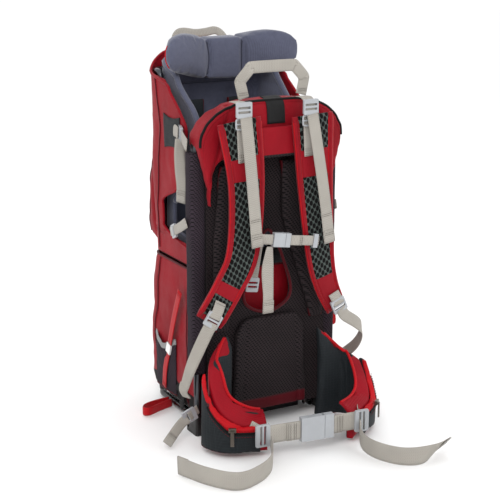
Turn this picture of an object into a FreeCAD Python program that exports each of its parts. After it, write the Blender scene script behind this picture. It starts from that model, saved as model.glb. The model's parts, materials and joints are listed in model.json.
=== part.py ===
"""A framed child carrier backpack, as a parametric FreeCAD document.

Axes: +X is the wearer's right, -Y is the side that lies on the wearer's back, +Z is up. The origin is on the
floor, under the middle of the frame. Every length is in millimetres.
"""

import FreeCAD, Part
import math
import os

import Sketcher
from FreeCAD import Placement, Rotation, Vector

OUT = "parts"
LEFT, RIGHT = -1, 1
SIDES = {"left": LEFT, "right": RIGHT}

# Driving dimensions: alias -> millimetres (angles in degrees).
DIMENSIONS = {
    # frame
    "tube_radius": 9, "tube_wall": 1.5, "frame_half_width": 150, "frame_y": -52, "frame_top": 664,
    "frame_foot": 24, "frame_bend": 70, "bar_radius": 7, "bar_low_z": 120, "bar_high_z": 560,
    "seat_tube_radius": 6, "seat_tube_x": 127.5, "seat_tube_low_z": 352, "seat_tube_top_z": 722,
    "seat_tube_y": 150, "seat_tube_back_y": 194.3,
    # folding stand
    "stand_radius": 7, "stand_x": 128, "stand_pivot_y": -30, "stand_z": 11, "stand_back_y": 190,
    "stand_bend": 30, "grip_length": 130, "grip_radius": 11, "pin_radius": 3, "pin_play": 0.05,
    "bracket_length": 24, "bracket_depth": 48, "bracket_height": 44, "bracket_y": -67, "bracket_x": 138.4,
    "skid_half_width": 110, "skid_depth": 34, "skid_height": 21.7,
    # bag
    "bag_half_width": 138, "bag_front_y": -40, "bag_floor_z": 22, "bag_top_z": 335, "bag_wall": 4,
    "bag_corner": 40, "lid_thickness": 5, "shell_low_z": 342, "shell_top_z": 800, "shell_back_low": 192,
    "shell_back_high": 207, "liner_inset": 17, "liner_thickness": 10, "part_gap": 0.3,
    "side_pocket_length": 98, "side_pocket_height": 120, "side_pocket_depth": 6,
    # seat and headrest
    "seat_half_width": 104, "seat_front_y": -22, "seat_back_y": 150, "seat_low_z": 362,
    "seat_thickness": 38, "head_centre_half": 41, "head_wing_x": 154, "head_front_y": 108,
    "head_wing_y": 58, "head_thickness": 38, "head_low_z": 701, "head_high_z": 793,
    # back system
    "panel_front_y": -72, "panel_thickness": 8, "panel_half_width": 137.6, "panel_low_z": 34,
    "panel_top_z": 672, "pad_thickness": 15, "lumbar_thickness": 19, "cap_thickness": 26,
    # shoulder harness
    "strap_front_y": -130, "strap_thickness": 16, "yoke_thickness": 8, "yoke_half_width": 112,
    "yoke_low_z": 572, "yoke_height": 66,
    "webbing_wide": 38, "webbing_mid": 25, "webbing_slim": 20, "webbing_thickness": 2,
    "lifter_y": -143.5, "sternum_y": -137,
    # hip belt
    "wing_thickness": 20, "wing_low_z": 3, "pouch_thickness": 14, "belt_z": 52,
    # hardware
    "lock_thickness": 5, "lock_rail": 4, "lock_slot": 4.5, "buckle_thickness": 13,
    "slider_width": 9, "slider_length": 15, "slider_thickness": 5,
}

doc = FreeCAD.newDocument("ChildCarrier")
sheet = doc.addObject("Spreadsheet::Sheet", "Sizes")
for row, (alias, value) in enumerate(DIMENSIONS.items(), start=1):
    sheet.set(f"A{row}", alias)
    sheet.set(f"B{row}", str(value))
    sheet.setAlias(f"B{row}", alias)
doc.recompute()

nodes = []


def size(alias):
    """The value of one cell of the sheet of sizes."""
    return float(sheet.get(alias))


def keep(obj, label):
    """Marks a document object as a sub-part, written to parts/LABEL.step."""
    obj.Label = label
    nodes.append(obj)
    return obj


def feature(label, shape, placement=None):
    """A sub-part whose shape is worked out here, from the sheet's sizes."""
    obj = doc.addObject("Part::Feature", label)
    obj.Shape = shape
    if placement:
        obj.Placement = placement
    return keep(obj, label)


def group(shapes):
    """Several separate solids as one shape."""
    return Part.makeCompound([solid for shape in shapes for solid in shape.Solids])


def polygon(points):
    """A closed wire of straight edges."""
    return Part.makePolygon([*points, points[0]])


def smooth(points):
    """A closed wire that passes smoothly through the points."""
    curve = Part.BSplineCurve()
    curve.interpolate(Points=points, PeriodicFlag=True)
    return Part.Wire([curve.toShape()])


def prism(outline, run):
    """The solid that a flat outline sweeps along a straight run."""
    return Part.Face(outline).extrude(run)


def rounded_path(points, radii):
    """Straight runs through the points, joined by tangent arcs of the given radii."""
    edges = []
    start = points[0]
    for before, corner, after, radius in zip(points, points[1:], points[2:], radii):
        back = (before - corner).normalize()
        ahead = (after - corner).normalize()
        half_turn = back.getAngle(ahead) / 2
        reach = radius / math.tan(half_turn)
        arc_in, arc_out = corner + back * reach, corner + ahead * reach
        bisector = (back + ahead).normalize()
        crown = corner + bisector * (radius / math.sin(half_turn) - radius)
        if (arc_in - start).Length > 1e-6:
            edges.append(Part.LineSegment(start, arc_in).toShape())
        edges.append(Part.Arc(arc_in, crown, arc_out).toShape())
        start = arc_out
    if (points[-1] - start).Length > 1e-6:
        edges.append(Part.LineSegment(start, points[-1]).toShape())
    return Part.Wire(edges)


def rod(path, radius):
    """A round bar along a path."""
    start = path.OrderedVertexes[0].Point
    first = path.OrderedEdges[0]
    ends = [first.tangentAt(first.FirstParameter), first.tangentAt(first.LastParameter)]
    near_first = (first.valueAt(first.FirstParameter) - start).Length < 1e-6
    direction = ends[0] if near_first else ends[1] * -1
    section = Part.Wire([Part.Circle(start, direction, radius).toShape()])
    return path.makePipeShell([section], True, False)


def tube(path, radius, wall):
    """A hollow round tube along a path."""
    return rod(path, radius).cut(rod(path, radius - wall))


def upright_ribbon(path, thickness, low_z, height):
    """A strap whose width stands upright, along a flat path at z 0."""
    one_side = path.makeOffset2D(thickness / 2, 0, False, True)
    band = one_side.makeOffset2D(-thickness, 0, True, True)
    if band.Area < thickness:
        band = one_side.makeOffset2D(thickness, 0, True, True)
    solid = band.extrude(Vector(0, 0, height))
    solid.translate(Vector(0, 0, low_z))
    return solid


def slat(start, end, width, thickness, flat_normal):
    """A straight strap from one point to another. flat_normal points out of its broad face."""
    along = end - start
    x_axis = Vector(along).normalize()
    z_axis = Vector(flat_normal)
    z_axis = (z_axis - x_axis * z_axis.dot(x_axis)).normalize()
    y_axis = z_axis.cross(x_axis)
    box = Part.makeBox(along.Length, width, thickness, Vector(0, -width / 2, -thickness / 2))
    turn = FreeCAD.Matrix(
        x_axis.x, y_axis.x, z_axis.x, start.x,
        x_axis.y, y_axis.y, z_axis.y, start.y,
        x_axis.z, y_axis.z, z_axis.z, start.z,
        0, 0, 0, 1,
    )
    box.Placement = Placement(turn)
    return box


# ---------------------------------------------------------------- PartDesign helpers


def origin_plane(body, role):
    """One of the body's own origin planes."""
    return next(f for f in body.Origin.OriginFeatures if f.Role == role)


def rectangle(sketch, width, height, centre_x="0", centre_y="0"):
    """A rectangle in a sketch, with its sides and centre driven by expressions."""
    first = sketch.GeometryCount
    corners = [Vector(-1, -1, 0), Vector(1, -1, 0), Vector(1, 1, 0), Vector(-1, 1, 0)]
    for a, b in zip(corners, corners[1:] + corners[:1]):
        sketch.addGeometry(Part.LineSegment(a, b), False)
    for k in range(4):
        sketch.addConstraint(Sketcher.Constraint("Coincident", first + k, 2, first + (k + 1) % 4, 1))
    for k, kind in enumerate(("Horizontal", "Vertical", "Horizontal", "Vertical")):
        sketch.addConstraint(Sketcher.Constraint(kind, first + k))
    driven = [
        (Sketcher.Constraint("DistanceX", first, 1, first, 2, 2.0), width),
        (Sketcher.Constraint("DistanceY", first + 1, 1, first + 1, 2, 2.0), height),
        (Sketcher.Constraint("DistanceX", -1, 1, first, 1, -1.0), f"{centre_x} - ({width}) / 2"),
        (Sketcher.Constraint("DistanceY", -1, 1, first, 1, -1.0), f"{centre_y} - ({height}) / 2"),
    ]
    for constraint, expression in driven:
        index = sketch.addConstraint(constraint)
        sketch.setExpression(f"Constraints[{index}]", expression)


def new_body(label):
    """An empty PartDesign body."""
    body = doc.addObject("PartDesign::Body", label)
    body.Label = label
    return body


def sketch_on(body, name, plane="XY_Plane"):
    """A sketch on one of the body's origin planes."""
    sketch = body.newObject("Sketcher::SketchObject", name)
    sketch.AttachmentSupport = (origin_plane(body, plane), [""])
    sketch.MapMode = "FlatFace"
    return sketch


def pad(body, sketch, name, length):
    """Pads a sketch to both sides of its plane."""
    made = body.newObject("PartDesign::Pad", name)
    made.Profile = sketch
    made.Midplane = True
    made.setExpression("Length", length)
    sketch.Visibility = False
    return made


def pocket(body, sketch, name):
    """Cuts a sketch right through the body, both ways."""
    made = body.newObject("PartDesign::Pocket", name)
    made.Profile = sketch
    made.Midplane = True
    made.Type = "ThroughAll"
    return made


def lock_body(label, webbing):
    """A ladder lock: a plate with two slots and a bar between them, lying in its own XY plane.

    The webbing runs along Y. webbing is the alias of its width."""
    body = new_body(label)
    outline = sketch_on(body, label + "_outline")
    rectangle(outline, f"Sizes.{webbing} + 2 * Sizes.lock_rail", "4 * Sizes.lock_slot + 3 * Sizes.lock_rail")
    pad(body, outline, label + "_plate", "Sizes.lock_thickness")
    slots = sketch_on(body, label + "_slots")
    for sign in ("-1", "1"):
        rectangle(slots, f"Sizes.{webbing} + 1.5", "Sizes.lock_slot",
                  centre_y=f"{sign} * (Sizes.lock_slot + Sizes.lock_rail) / 2")
    doc.recompute()
    solid_volume = body.Shape.Volume
    pocket(body, slots, label + "_windows")
    doc.recompute()
    if body.Shape.Volume > solid_volume - 1:
        raise RuntimeError(label + ": the slots cut nothing")
    plate, cut = body.Shape, body.Tip
    corners = body.newObject("PartDesign::Fillet", label + "_corners")
    upright = []
    for index, edge in enumerate(plate.Edges, start=1):
        ends = [v.Point for v in edge.Vertexes]
        if len(ends) == 2 and abs(ends[0].z - ends[1].z) > 1 and abs(abs(ends[0].x) - plate.BoundBox.XMax) < 0.01:
            upright.append(f"Edge{index}")
    corners.Base = (cut, upright)
    corners.setExpression("Radius", "Sizes.lock_rail * 0.7")
    doc.recompute()
    return body


def placed(body, placement):
    """A copy of a body's solid at a placement."""
    shape = body.Shape.copy()
    shape.Placement = placement
    return shape


def facing(point, along, normal):
    """A placement that turns +Y to `along` and +Z to `normal`."""
    y_axis = Vector(along).normalize()
    z_axis = Vector(normal)
    z_axis = (z_axis - y_axis * z_axis.dot(y_axis)).normalize()
    x_axis = y_axis.cross(z_axis)
    return Placement(FreeCAD.Matrix(
        x_axis.x, y_axis.x, z_axis.x, point.x,
        x_axis.y, y_axis.y, z_axis.y, point.y,
        x_axis.z, y_axis.z, z_axis.z, point.z,
        0, 0, 0, 1,
    ))


# ---------------------------------------------------------------- frame and stand


def frame_path():
    """The middle line of the bent frame: up one side, over the top and down the other."""
    x, y = size("frame_half_width"), size("frame_y")
    foot, top, bend = size("frame_foot"), size("frame_top"), size("frame_bend")
    corners = [Vector(-x, y, foot), Vector(-x, y, top), Vector(x, y, top), Vector(x, y, foot)]
    return rounded_path(corners, [bend, bend])


def make_frame():
    """The bent aluminium frame, its crossbars, and the hoop that carries the seat."""
    y = size("frame_y")
    feature("frame_tube", tube(frame_path(), size("tube_radius"), size("tube_wall")))

    bars = []
    for height in ("bar_low_z", "bar_high_z"):
        bar = doc.addObject("Part::Cylinder", "crossbar_" + height)
        bar.setExpression("Radius", "Sizes.bar_radius")
        bar.setExpression("Height", "2 * (Sizes.frame_half_width - Sizes.tube_radius - Sizes.part_gap)")
        bar.Placement = Placement(Vector(0, y, 0), Rotation(Vector(0, 1, 0), 90))
        bar.setExpression("Placement.Base.x",
                          "-(Sizes.frame_half_width - Sizes.tube_radius - Sizes.part_gap)")
        bar.setExpression("Placement.Base.y", "Sizes.frame_y")
        bar.setExpression("Placement.Base.z", "Sizes." + height)
        bars.append(bar)
    crossbars = doc.addObject("Part::Compound", "frame_crossbars")
    crossbars.Links = bars
    keep(crossbars, "frame_crossbars")

    sx, low, high = size("seat_tube_x"), size("seat_tube_low_z"), size("seat_tube_top_z")
    side, back = size("seat_tube_y"), size("seat_tube_back_y")
    run = back - side
    seat_hoop = rounded_path(
        [Vector(-sx, -34, low), Vector(-sx, side, low), Vector(-sx, side, high), Vector(-sx, back, high),
         Vector(sx, back, high), Vector(sx, side, high), Vector(sx, side, low), Vector(sx, -34, low)],
        [45, run * 0.27, run * 0.7, run * 0.7, run * 0.27, 45])
    feature("seat_frame_tube", tube(seat_hoop, size("seat_tube_radius"), size("tube_wall")))


def make_stand():
    """The folding stand: a U of tube under the bag, on pins in the brackets that carry the frame's feet."""
    x, y0, y1, z = size("stand_x"), size("stand_pivot_y"), size("stand_back_y"), size("stand_z")
    bend, radius = size("stand_bend"), size("stand_radius")
    pin, play = size("pin_radius"), size("pin_play")
    path = rounded_path([Vector(-x, y0 - radius - 2, z), Vector(-x, y1, z), Vector(x, y1, z),
                         Vector(x, y0 - radius - 2, z)], [bend, bend])
    axle_length = 2 * (size("bracket_x") + size("bracket_length"))
    bore = Part.makeCylinder(pin + play, axle_length, Vector(-axle_length / 2, y0, z), Vector(1, 0, 0))
    feature("kickstand_tube", tube(path, radius, size("tube_wall")).cut(bore))

    grip_length = size("grip_length")
    grip_start = Vector(-grip_length / 2, y1, z)
    sleeve = Part.makeCylinder(size("grip_radius"), grip_length, grip_start, Vector(1, 0, 0))
    core = Part.makeCylinder(radius + play, grip_length, grip_start, Vector(1, 0, 0))
    feature("kickstand_grip", sleeve.cut(core))

    brackets, pins = [], []
    for side in SIDES.values():
        inner = size("bracket_x")
        outer = inner + size("bracket_length")
        low_x = inner if side == RIGHT else -outer
        block = Part.makeBox(size("bracket_length"), size("bracket_depth"), size("bracket_height"),
                             Vector(low_x, size("bracket_y"), 0))
        block = block.makeFillet(5, long_edges(block, "Z"))
        socket = Part.makeCylinder(size("tube_radius") + play, size("bracket_height"),
                                   Vector(side * size("frame_half_width"), size("frame_y"), size("frame_foot")))
        brackets.append(block.cut(socket).cut(bore))
        pin_in = x - radius - 4
        pin_out = outer - 2
        start = pin_in if side == RIGHT else -pin_out
        shaft = Part.makeCylinder(pin, pin_out - pin_in, Vector(start, y0, z), Vector(1, 0, 0))
        head = Part.makeCylinder(pin * 1.8, 2, Vector(side * pin_in, y0, z), Vector(-side, 0, 0))
        pins.append(shaft.fuse(head))
        brackets.append(seat_bracket(side))
    feature("frame_brackets", group(brackets))
    feature("stand_pivot_pins", group(pins))

    loop = rounded_path([Vector(-x - radius - 2, 118, 0), Vector(-198, 106, 0), Vector(-212, 82, 0),
                         Vector(-188, 84, 0), Vector(-x - radius - 2, 102, 0)], [12, 8, 12])
    feature("kickstand_pull_loop", upright_ribbon(loop, t_web(), 2, 20))

    skid = doc.addObject("Part::Box", "base_skid")
    skid.setExpression("Length", "2 * Sizes.skid_half_width")
    skid.setExpression("Width", "Sizes.skid_depth")
    skid.setExpression("Height", "Sizes.skid_height")
    skid.setExpression("Placement.Base.x", "-Sizes.skid_half_width")
    skid.setExpression("Placement.Base.y", "-Sizes.skid_depth / 2")
    keep(skid, "base_skid")


def seat_bracket(side):
    """The moulded block that joins one end of the seat hoop to the frame."""
    low_x = 116 if side == RIGHT else -137.5
    block = Part.makeBox(21.5, 40, 22, Vector(low_x, -62, size("seat_tube_low_z") - 11))
    block = block.makeFillet(4, long_edges(block, "Z"))
    socket = Part.makeCylinder(size("seat_tube_radius") + size("pin_play"), 60,
                               Vector(side * size("seat_tube_x"), -34, size("seat_tube_low_z")), Vector(0, 1, 0))
    return block.cut(socket)


# ---------------------------------------------------------------- bags, seat and headrest


def bag_section(z, back_y, inset, front_y):
    """The bag's outline at one height, with rounded back corners."""
    w = size("bag_half_width") - inset
    back = back_y - inset
    r = size("bag_corner") - inset * 0.6
    corner = r * (1 - math.sqrt(0.5))
    points = [Vector(-w, front_y, z), Vector(-w, back - r, z), Vector(-w + r, back, z),
              Vector(w - r, back, z), Vector(w, back - r, z), Vector(w, front_y, z)]
    return Part.Wire([
        Part.LineSegment(points[0], points[1]).toShape(),
        Part.Arc(points[1], Vector(-w + corner, back - corner, z), points[2]).toShape(),
        Part.LineSegment(points[2], points[3]).toShape(),
        Part.Arc(points[3], Vector(w - corner, back - corner, z), points[4]).toShape(),
        Part.LineSegment(points[4], points[5]).toShape(),
        Part.LineSegment(points[5], points[0]).toShape(),
    ])


def bag_loft(levels, inset, front_y):
    """A solid through the bag's outlines at (height, back) levels."""
    return Part.makeLoft([bag_section(z, back, inset, front_y) for z, back in levels], True, False)


def side_profile(points, half_width):
    """A block right across the pack with the given (y, z) outline seen from the side."""
    outline = polygon([Vector(-half_width, y, z) for y, z in points])
    return prism(outline, Vector(2 * half_width, 0, 0))


def front_profile(points, low_y, depth):
    """A block along Y with the given (x, z) outline seen from the front."""
    return prism(polygon([Vector(x, low_y, z) for x, z in points]), Vector(0, depth, 0))


def both_sides(points):
    """An outline made symmetrical: the points run down the right side, and the left side mirrors them."""
    return [*points, *[(-x, z) for x, z in reversed(points)]]


def make_storage():
    """The lower bag, its lid under the seat, and the pockets on the bags."""
    floor, top, wall, gap = size("bag_floor_z"), size("bag_top_z"), size("bag_wall"), size("part_gap")
    front, back_top = size("bag_front_y"), size("shell_back_low")
    middle = [(floor + 36, 219), (floor + 108, 212), (floor + 198, 201)]
    outer = bag_loft([(floor, 205), *middle, (top, back_top)], 0, front)
    inner = bag_loft([(floor + wall, 207), *middle, (top + 1, back_top)], wall, front + wall)
    feature("storage_bag", outer.cut(inner))

    lid = doc.addObject("Part::Box", "storage_lid")
    lid.setExpression("Length", "2 * Sizes.bag_half_width - 8")
    lid.setExpression("Width", "Sizes.shell_back_low - Sizes.bag_front_y - 34")
    lid.setExpression("Height", "Sizes.lid_thickness")
    lid.setExpression("Placement.Base.x", "-Sizes.bag_half_width + 4")
    lid.setExpression("Placement.Base.y", "Sizes.bag_front_y")
    lid.setExpression("Placement.Base.z", "Sizes.bag_top_z + Sizes.part_gap")
    keep(lid, "storage_lid")

    depth = size("side_pocket_depth")
    edge = size("bag_half_width") + gap
    pockets = []
    for side in SIDES.values():
        low_x = edge if side == RIGHT else -edge - depth
        block = Part.makeBox(depth, size("side_pocket_length"), size("side_pocket_height"),
                             Vector(low_x, 64, floor + 20))
        pockets.append(block.makeFillet(2.5, long_edges(block, "Z")))
    feature("side_pockets", group(pockets))

    half = size("bag_half_width") - 15
    base = size("shell_back_low") + gap + 1
    profile = [(base, 346), (238, 356), (250, 384), (252, 430), (250, 484), (243, 536), (229, 586),
               (base + 9.5, 628)]
    feature("rear_pocket", side_profile(profile, half))


def make_cockpit():
    """The child's cockpit: outer shell, padded liner, seat and headrest, and the front pad."""
    low, top, wall = size("shell_low_z"), size("shell_top_z"), size("bag_wall")
    back_low, back_high = size("shell_back_low"), size("shell_back_high")
    inset, thick = size("liner_inset"), size("liner_thickness")
    far = back_high + 40
    lift = 2
    slope = (back_high - back_low) / (top - low)
    levels = [(low, back_low), (top, back_high)]
    tall = [(low - lift, back_low - slope * lift), (top + lift, back_high + slope * lift)]
    dome = [(0, 774), (60, 768), (100, 754), (122, 738), (140, 712), (140, 300)]
    rim = [(far, low), (2, low), (2, 384), (118, 384), (120, 468), (66, 484), (26, 528), (12, 600), (4, 624),
           (28, 652), (72, 684), (122, 726), (140, 742), (180, 800), (far, 801)]
    shell = bag_loft(levels, 0, -200).cut(bag_loft(tall, wall, -201))
    shell = shell.common(side_profile(rim, 200))
    feature("rear_shell", shell.common(front_profile(both_sides(dome), -250, 600)))

    liner_dome = [(0, 766), (58, 760), (96, 746), (114, 731), (125, 706), (125, 300)]
    liner_rim = [(far, 360), (100, 360), (112, 384), (122, 470), (72, 488), (32, 530), (16, 598), (8, 622),
                 (30, 648), (74, 680), (122, 720), (140, 736), (176, 796), (far, 797)]
    liner = bag_loft(levels, inset, -200).cut(bag_loft(tall, inset + thick, -201))
    liner = liner.common(side_profile(liner_rim, 200))
    feature("cockpit_liner", liner.common(front_profile(both_sides(liner_dome), -250, 600)))

    width, front, rear = size("seat_half_width"), size("seat_front_y"), size("seat_back_y")
    thickness = size("seat_thickness")
    outline = polygon([Vector(-width, rear, 0), Vector(width, rear, 0), Vector(width, front + 70, 0),
                       Vector(width * 0.45, front, 0), Vector(-width * 0.45, front, 0),
                       Vector(-width, front + 70, 0)])
    seat = prism(outline, Vector(0, 0, thickness))
    seat = seat.makeFillet(thickness * 0.3, long_edges(seat, "Z"))
    feature("seat_pad", seat, Placement(Vector(0, 0, size("seat_low_z")), Rotation()))

    feature("headrest_cushion", headrest_shape())

    chin = Part.makeBox(220, 30, 66, Vector(-110, -36, 588))
    feature("chin_pad", chin.makeFillet(10, long_edges(chin, "X")))

    straps = []
    for side in SIDES.values():
        block = Part.makeBox(44, 12, 150, Vector(side * 48 - 22, 146, 510))
        straps.append(block.makeFillet(5, long_edges(block, "Z")))
    feature("child_harness_pads", group(straps))
    clasp = Part.makeBox(46, 14, 52, Vector(-23, 122, 496))
    feature("child_harness_buckle", clasp.makeFillet(5, long_edges(clasp, "Y")))


def headrest_shape():
    """A cushion with a straight middle and two lobed wings that reach forward and out."""
    c, wing, front, wing_y = size("head_centre_half"), size("head_wing_x"), size("head_front_y"), size("head_wing_y")
    low, high, t = size("head_low_z"), size("head_high_z"), size("head_thickness")
    back = front + t + 18
    front_half = [(c, front), (wing, wing_y), (wing + 4, wing_y + 16), (wing - 14, wing_y + t), (c + 12, back)]
    plan = [*front_half, *[(-x, y) for x, y in reversed(front_half)]]
    band = prism(polygon([Vector(x, y, low - 5) for x, y in plan]), Vector(0, 0, high - low + 30))
    middle = (low + high) / 2 + 14
    lobes = [(0, low), (c, low + 2), (100, low + 17), (134, low + 25), (wing + 4, middle), (138, high + 4),
             (104, high + 12), (c, high + 1), (0, high)]
    right = [Vector(x, 0, z) for x, z in lobes]
    left = [Vector(-x, 0, z) for x, z in reversed(lobes[1:-1])]
    outline = smooth([*right, *left])
    lobe_block = prism(outline, Vector(0, 300, 0))
    return band.common(lobe_block)


# ---------------------------------------------------------------- back system


def make_back_system():
    """The stiff back panel, the mesh pads on it, the cap over its top and the covers of the frame's sides."""
    y, t, gap = size("panel_front_y"), size("panel_thickness"), size("part_gap")
    w, low, top = size("panel_half_width"), size("panel_low_z"), size("panel_top_z")
    panel = front_profile([(-w, low), (w, low), (w, top - 60), (w - 50, top), (-w + 50, top), (-w, top - 60)], y, t)
    window = smooth([Vector(x, y - 1, z) for x, z in
                     ((0, 246), (52, 272), (46, 330), (0, 420), (-46, 330), (-52, 272))])
    feature("back_panel", panel.cut(prism(window, Vector(0, t + 2, 0))))

    depth = size("pad_thickness")
    face = y - gap
    pad = [(22, 568), (112, 568), (121, 540), (126, 480), (134, 400), (134, 250), (126, 218), (94, 218),
           (84, 252), (68, 300), (36, 400), (22, 450)]
    pads = [front_profile([(side * px, pz) for px, pz in pad], face - depth, depth) for side in SIDES.values()]
    feature("back_mesh_pads", group(pads))
    lumbar = both_sides([(88, 40), (80, 212), (62, 243)])
    lumbar_depth = size("lumbar_thickness")
    feature("lumbar_pad", front_profile([(x, z) for x, z in lumbar], face - lumbar_depth, lumbar_depth))

    feature("yoke_cap", yoke_cap_shape(face))
    patch = doc.addObject("Part::Box", "yoke_patch")
    patch.setExpression("Length", "40")
    patch.setExpression("Width", "2.5")
    patch.setExpression("Height", "45")
    patch.setExpression("Placement.Base.x", "-18")
    patch.setExpression("Placement.Base.y", "Sizes.panel_front_y - 2 * Sizes.part_gap - Sizes.cap_thickness - 2.5")
    patch.setExpression("Placement.Base.z", "641")
    keep(patch, "yoke_patch")

    covers = []
    bar_hole = Part.makeCylinder(size("bar_radius") + gap, 400, Vector(-200, size("frame_y"), size("bar_high_z")),
                                 Vector(1, 0, 0))
    for side in SIDES.values():
        centre = side * size("frame_half_width")
        low_x = centre - (12 if side == RIGHT else 18)
        wrap = Part.makeBox(30, 30, 456, Vector(low_x, size("frame_y") - 15, 134))
        outside = [e for e in long_edges(wrap, "Z") if abs(e.CenterOfMass.x) > abs(centre)]
        wrap = wrap.makeFillet(9, outside)
        hole = Part.makeCylinder(size("tube_radius") + gap, 500, Vector(centre, size("frame_y"), 120))
        covers.append(wrap.cut(hole).cut(bar_hole))
    feature("pillar_covers", group(covers))


def yoke_cap_shape(face):
    """The padded cover over the frame's top: a front, a back and the bridge over the panel's top edge."""
    depth, gap = size("cap_thickness"), size("part_gap")
    crown = [(60, 688), (95, 682), (124, 669), (147, 650), (162, 623), (164, 598)]
    skirt = [(150, 544), (139, 470), (129, 544), (118, 573)]
    front = front_profile(both_sides([*crown, *skirt]), face - depth, depth)
    back_face = size("panel_front_y") + size("panel_thickness") + gap
    back = front_profile(both_sides(crown), back_face, 25.5)
    bridge = Part.makeBox(144, back_face - face + 2, 688 - size("panel_top_z") - gap,
                          Vector(-72, face - 1, size("panel_top_z") + gap))
    return front.fuse([back, bridge]).cut(rod(frame_path(), size("tube_radius") + gap)).removeSplitter()


# ---------------------------------------------------------------- shoulder harness

# Stations down the middle of each shoulder pad: x, z and half width.
LEFT_STRAP = [(-91, 655, 44), (-76, 527, 36), (-84, 395, 33), (-116, 328, 31), (-160, 262, 30)]
RIGHT_STRAP = [(73, 655, 44), (81, 512, 37), (94, 372, 30), (110, 302, 25), (136, 246, 21)]


def strap_outline(stations, y):
    """The outline of a shoulder pad from (x, z, half width) stations down its middle."""
    one_side, other_side = [], []
    for k, (x, z, half) in enumerate(stations):
        before = stations[max(k - 1, 0)]
        after = stations[min(k + 1, len(stations) - 1)]
        run = Vector(after[0] - before[0], 0, after[1] - before[1]).normalize()
        across = Vector(-run.z, 0, run.x)
        one_side.append(Vector(x, y, z) + across * half)
        other_side.append(Vector(x, y, z) - across * half)
    left, right = Part.BSplineCurve(), Part.BSplineCurve()
    left.interpolate(one_side)
    right.interpolate(other_side)
    return Part.Wire([left.toShape(), Part.LineSegment(one_side[-1], other_side[-1]).toShape(),
                      right.toShape(), Part.LineSegment(other_side[0], one_side[0]).toShape()])


def make_harness(mid_lock):
    """The shoulder pads on the yoke that slides up the back, with their adjusters and webbing."""
    y, t = size("strap_front_y"), size("strap_thickness")
    for name, stations in (("left", LEFT_STRAP), ("right", RIGHT_STRAP)):
        feature("shoulder_pad_" + name, prism(strap_outline(stations, y), Vector(0, t, 0)))
    yoke = doc.addObject("Part::Box", "harness_yoke")
    yoke.setExpression("Length", "2 * Sizes.yoke_half_width")
    yoke.setExpression("Width", "Sizes.yoke_thickness")
    yoke.setExpression("Height", "Sizes.yoke_height")
    yoke.setExpression("Placement.Base.x", "-Sizes.yoke_half_width")
    yoke.setExpression("Placement.Base.y", "Sizes.strap_front_y + Sizes.strap_thickness + Sizes.part_gap")
    yoke.setExpression("Placement.Base.z", "Sizes.yoke_low_z")
    keep(yoke, "harness_yoke")

    ahead = Vector(0, -1, 0)
    wide, slim, thin = size("webbing_mid"), size("webbing_slim"), size("webbing_thickness")
    locks = [
        placed(mid_lock, facing(Vector(-158, -136, 270), Vector(44, 0, 66), ahead)),
        placed(mid_lock, facing(Vector(134, -136, 257), Vector(-24, 0, 56), ahead)),
    ]
    webs = []
    for top, mid, low in (
        (Vector(-168, -134, 254), Vector(-184, -92, 166), Vector(-180, -48, 104)),
        (Vector(148, -134, 235), Vector(196, -128, 196), Vector(186, -50, 104)),
    ):
        side = 1 if low.x > 0 else -1
        upper_normal = Vector(side * 0.4, -1, 0) if side < 0 else Vector(0.1, -1, 0)
        webs.append(slat(top, mid, wide, thin, upper_normal))
        webs.append(slat(mid + (low - mid) * 0.06, low, wide, thin, Vector(side, -0.2, 0)))
    feature("lower_webbings", group(webs))

    tails = []
    front = size("lifter_y")
    for top_x, low_x, low_z in ((-88, -63, 407), (60, 104, 396)):
        lock_z = 678 if top_x < 0 else 674
        locks.append(placed(mid_lock, facing(Vector(top_x - 3, front + 2.5, lock_z), Vector(0, 0, 1), ahead)))
        tails.append(slat(Vector(top_x, front, lock_z - 17), Vector(low_x, front, low_z), wide, thin, ahead))
        tails.append(slat(Vector(top_x - 4, y - 3, lock_z - 18), Vector(top_x, y - 3, 575), slim, thin, ahead))
        anchor_end = Vector(top_x - 3, front + 6, lock_z + 8)
        tails.append(slat(Vector(top_x - 3, -112, 688), anchor_end, wide, thin, Vector(0, 0, 1)))
    feature("harness_locks", group(locks))
    feature("load_lifters", group(tails))


class Strip:
    """A run of strap across the pack: its middle, its direction and the way it faces."""

    def __init__(self, start, end, share):
        self.along = (end - start).normalize()
        self.centre = start + (end - start) * share
        self.outward = Vector(0, -1, 0) - self.along * Vector(0, -1, 0).dot(self.along)
        self.outward.normalize()
        self.up = self.along.cross(self.outward) * -1

    def point(self, along, lift=0.0, out=0.0):
        """A point at a distance along the strap, across it, and out from it."""
        return self.centre + self.along * along + self.up * lift + self.outward * out

    def block(self, begin, end, height, depth, lift=0.0, out=0.0):
        """A box along the strap."""
        return slat(self.point(begin, lift, out), self.point(end, lift, out), height, depth, self.outward)


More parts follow.
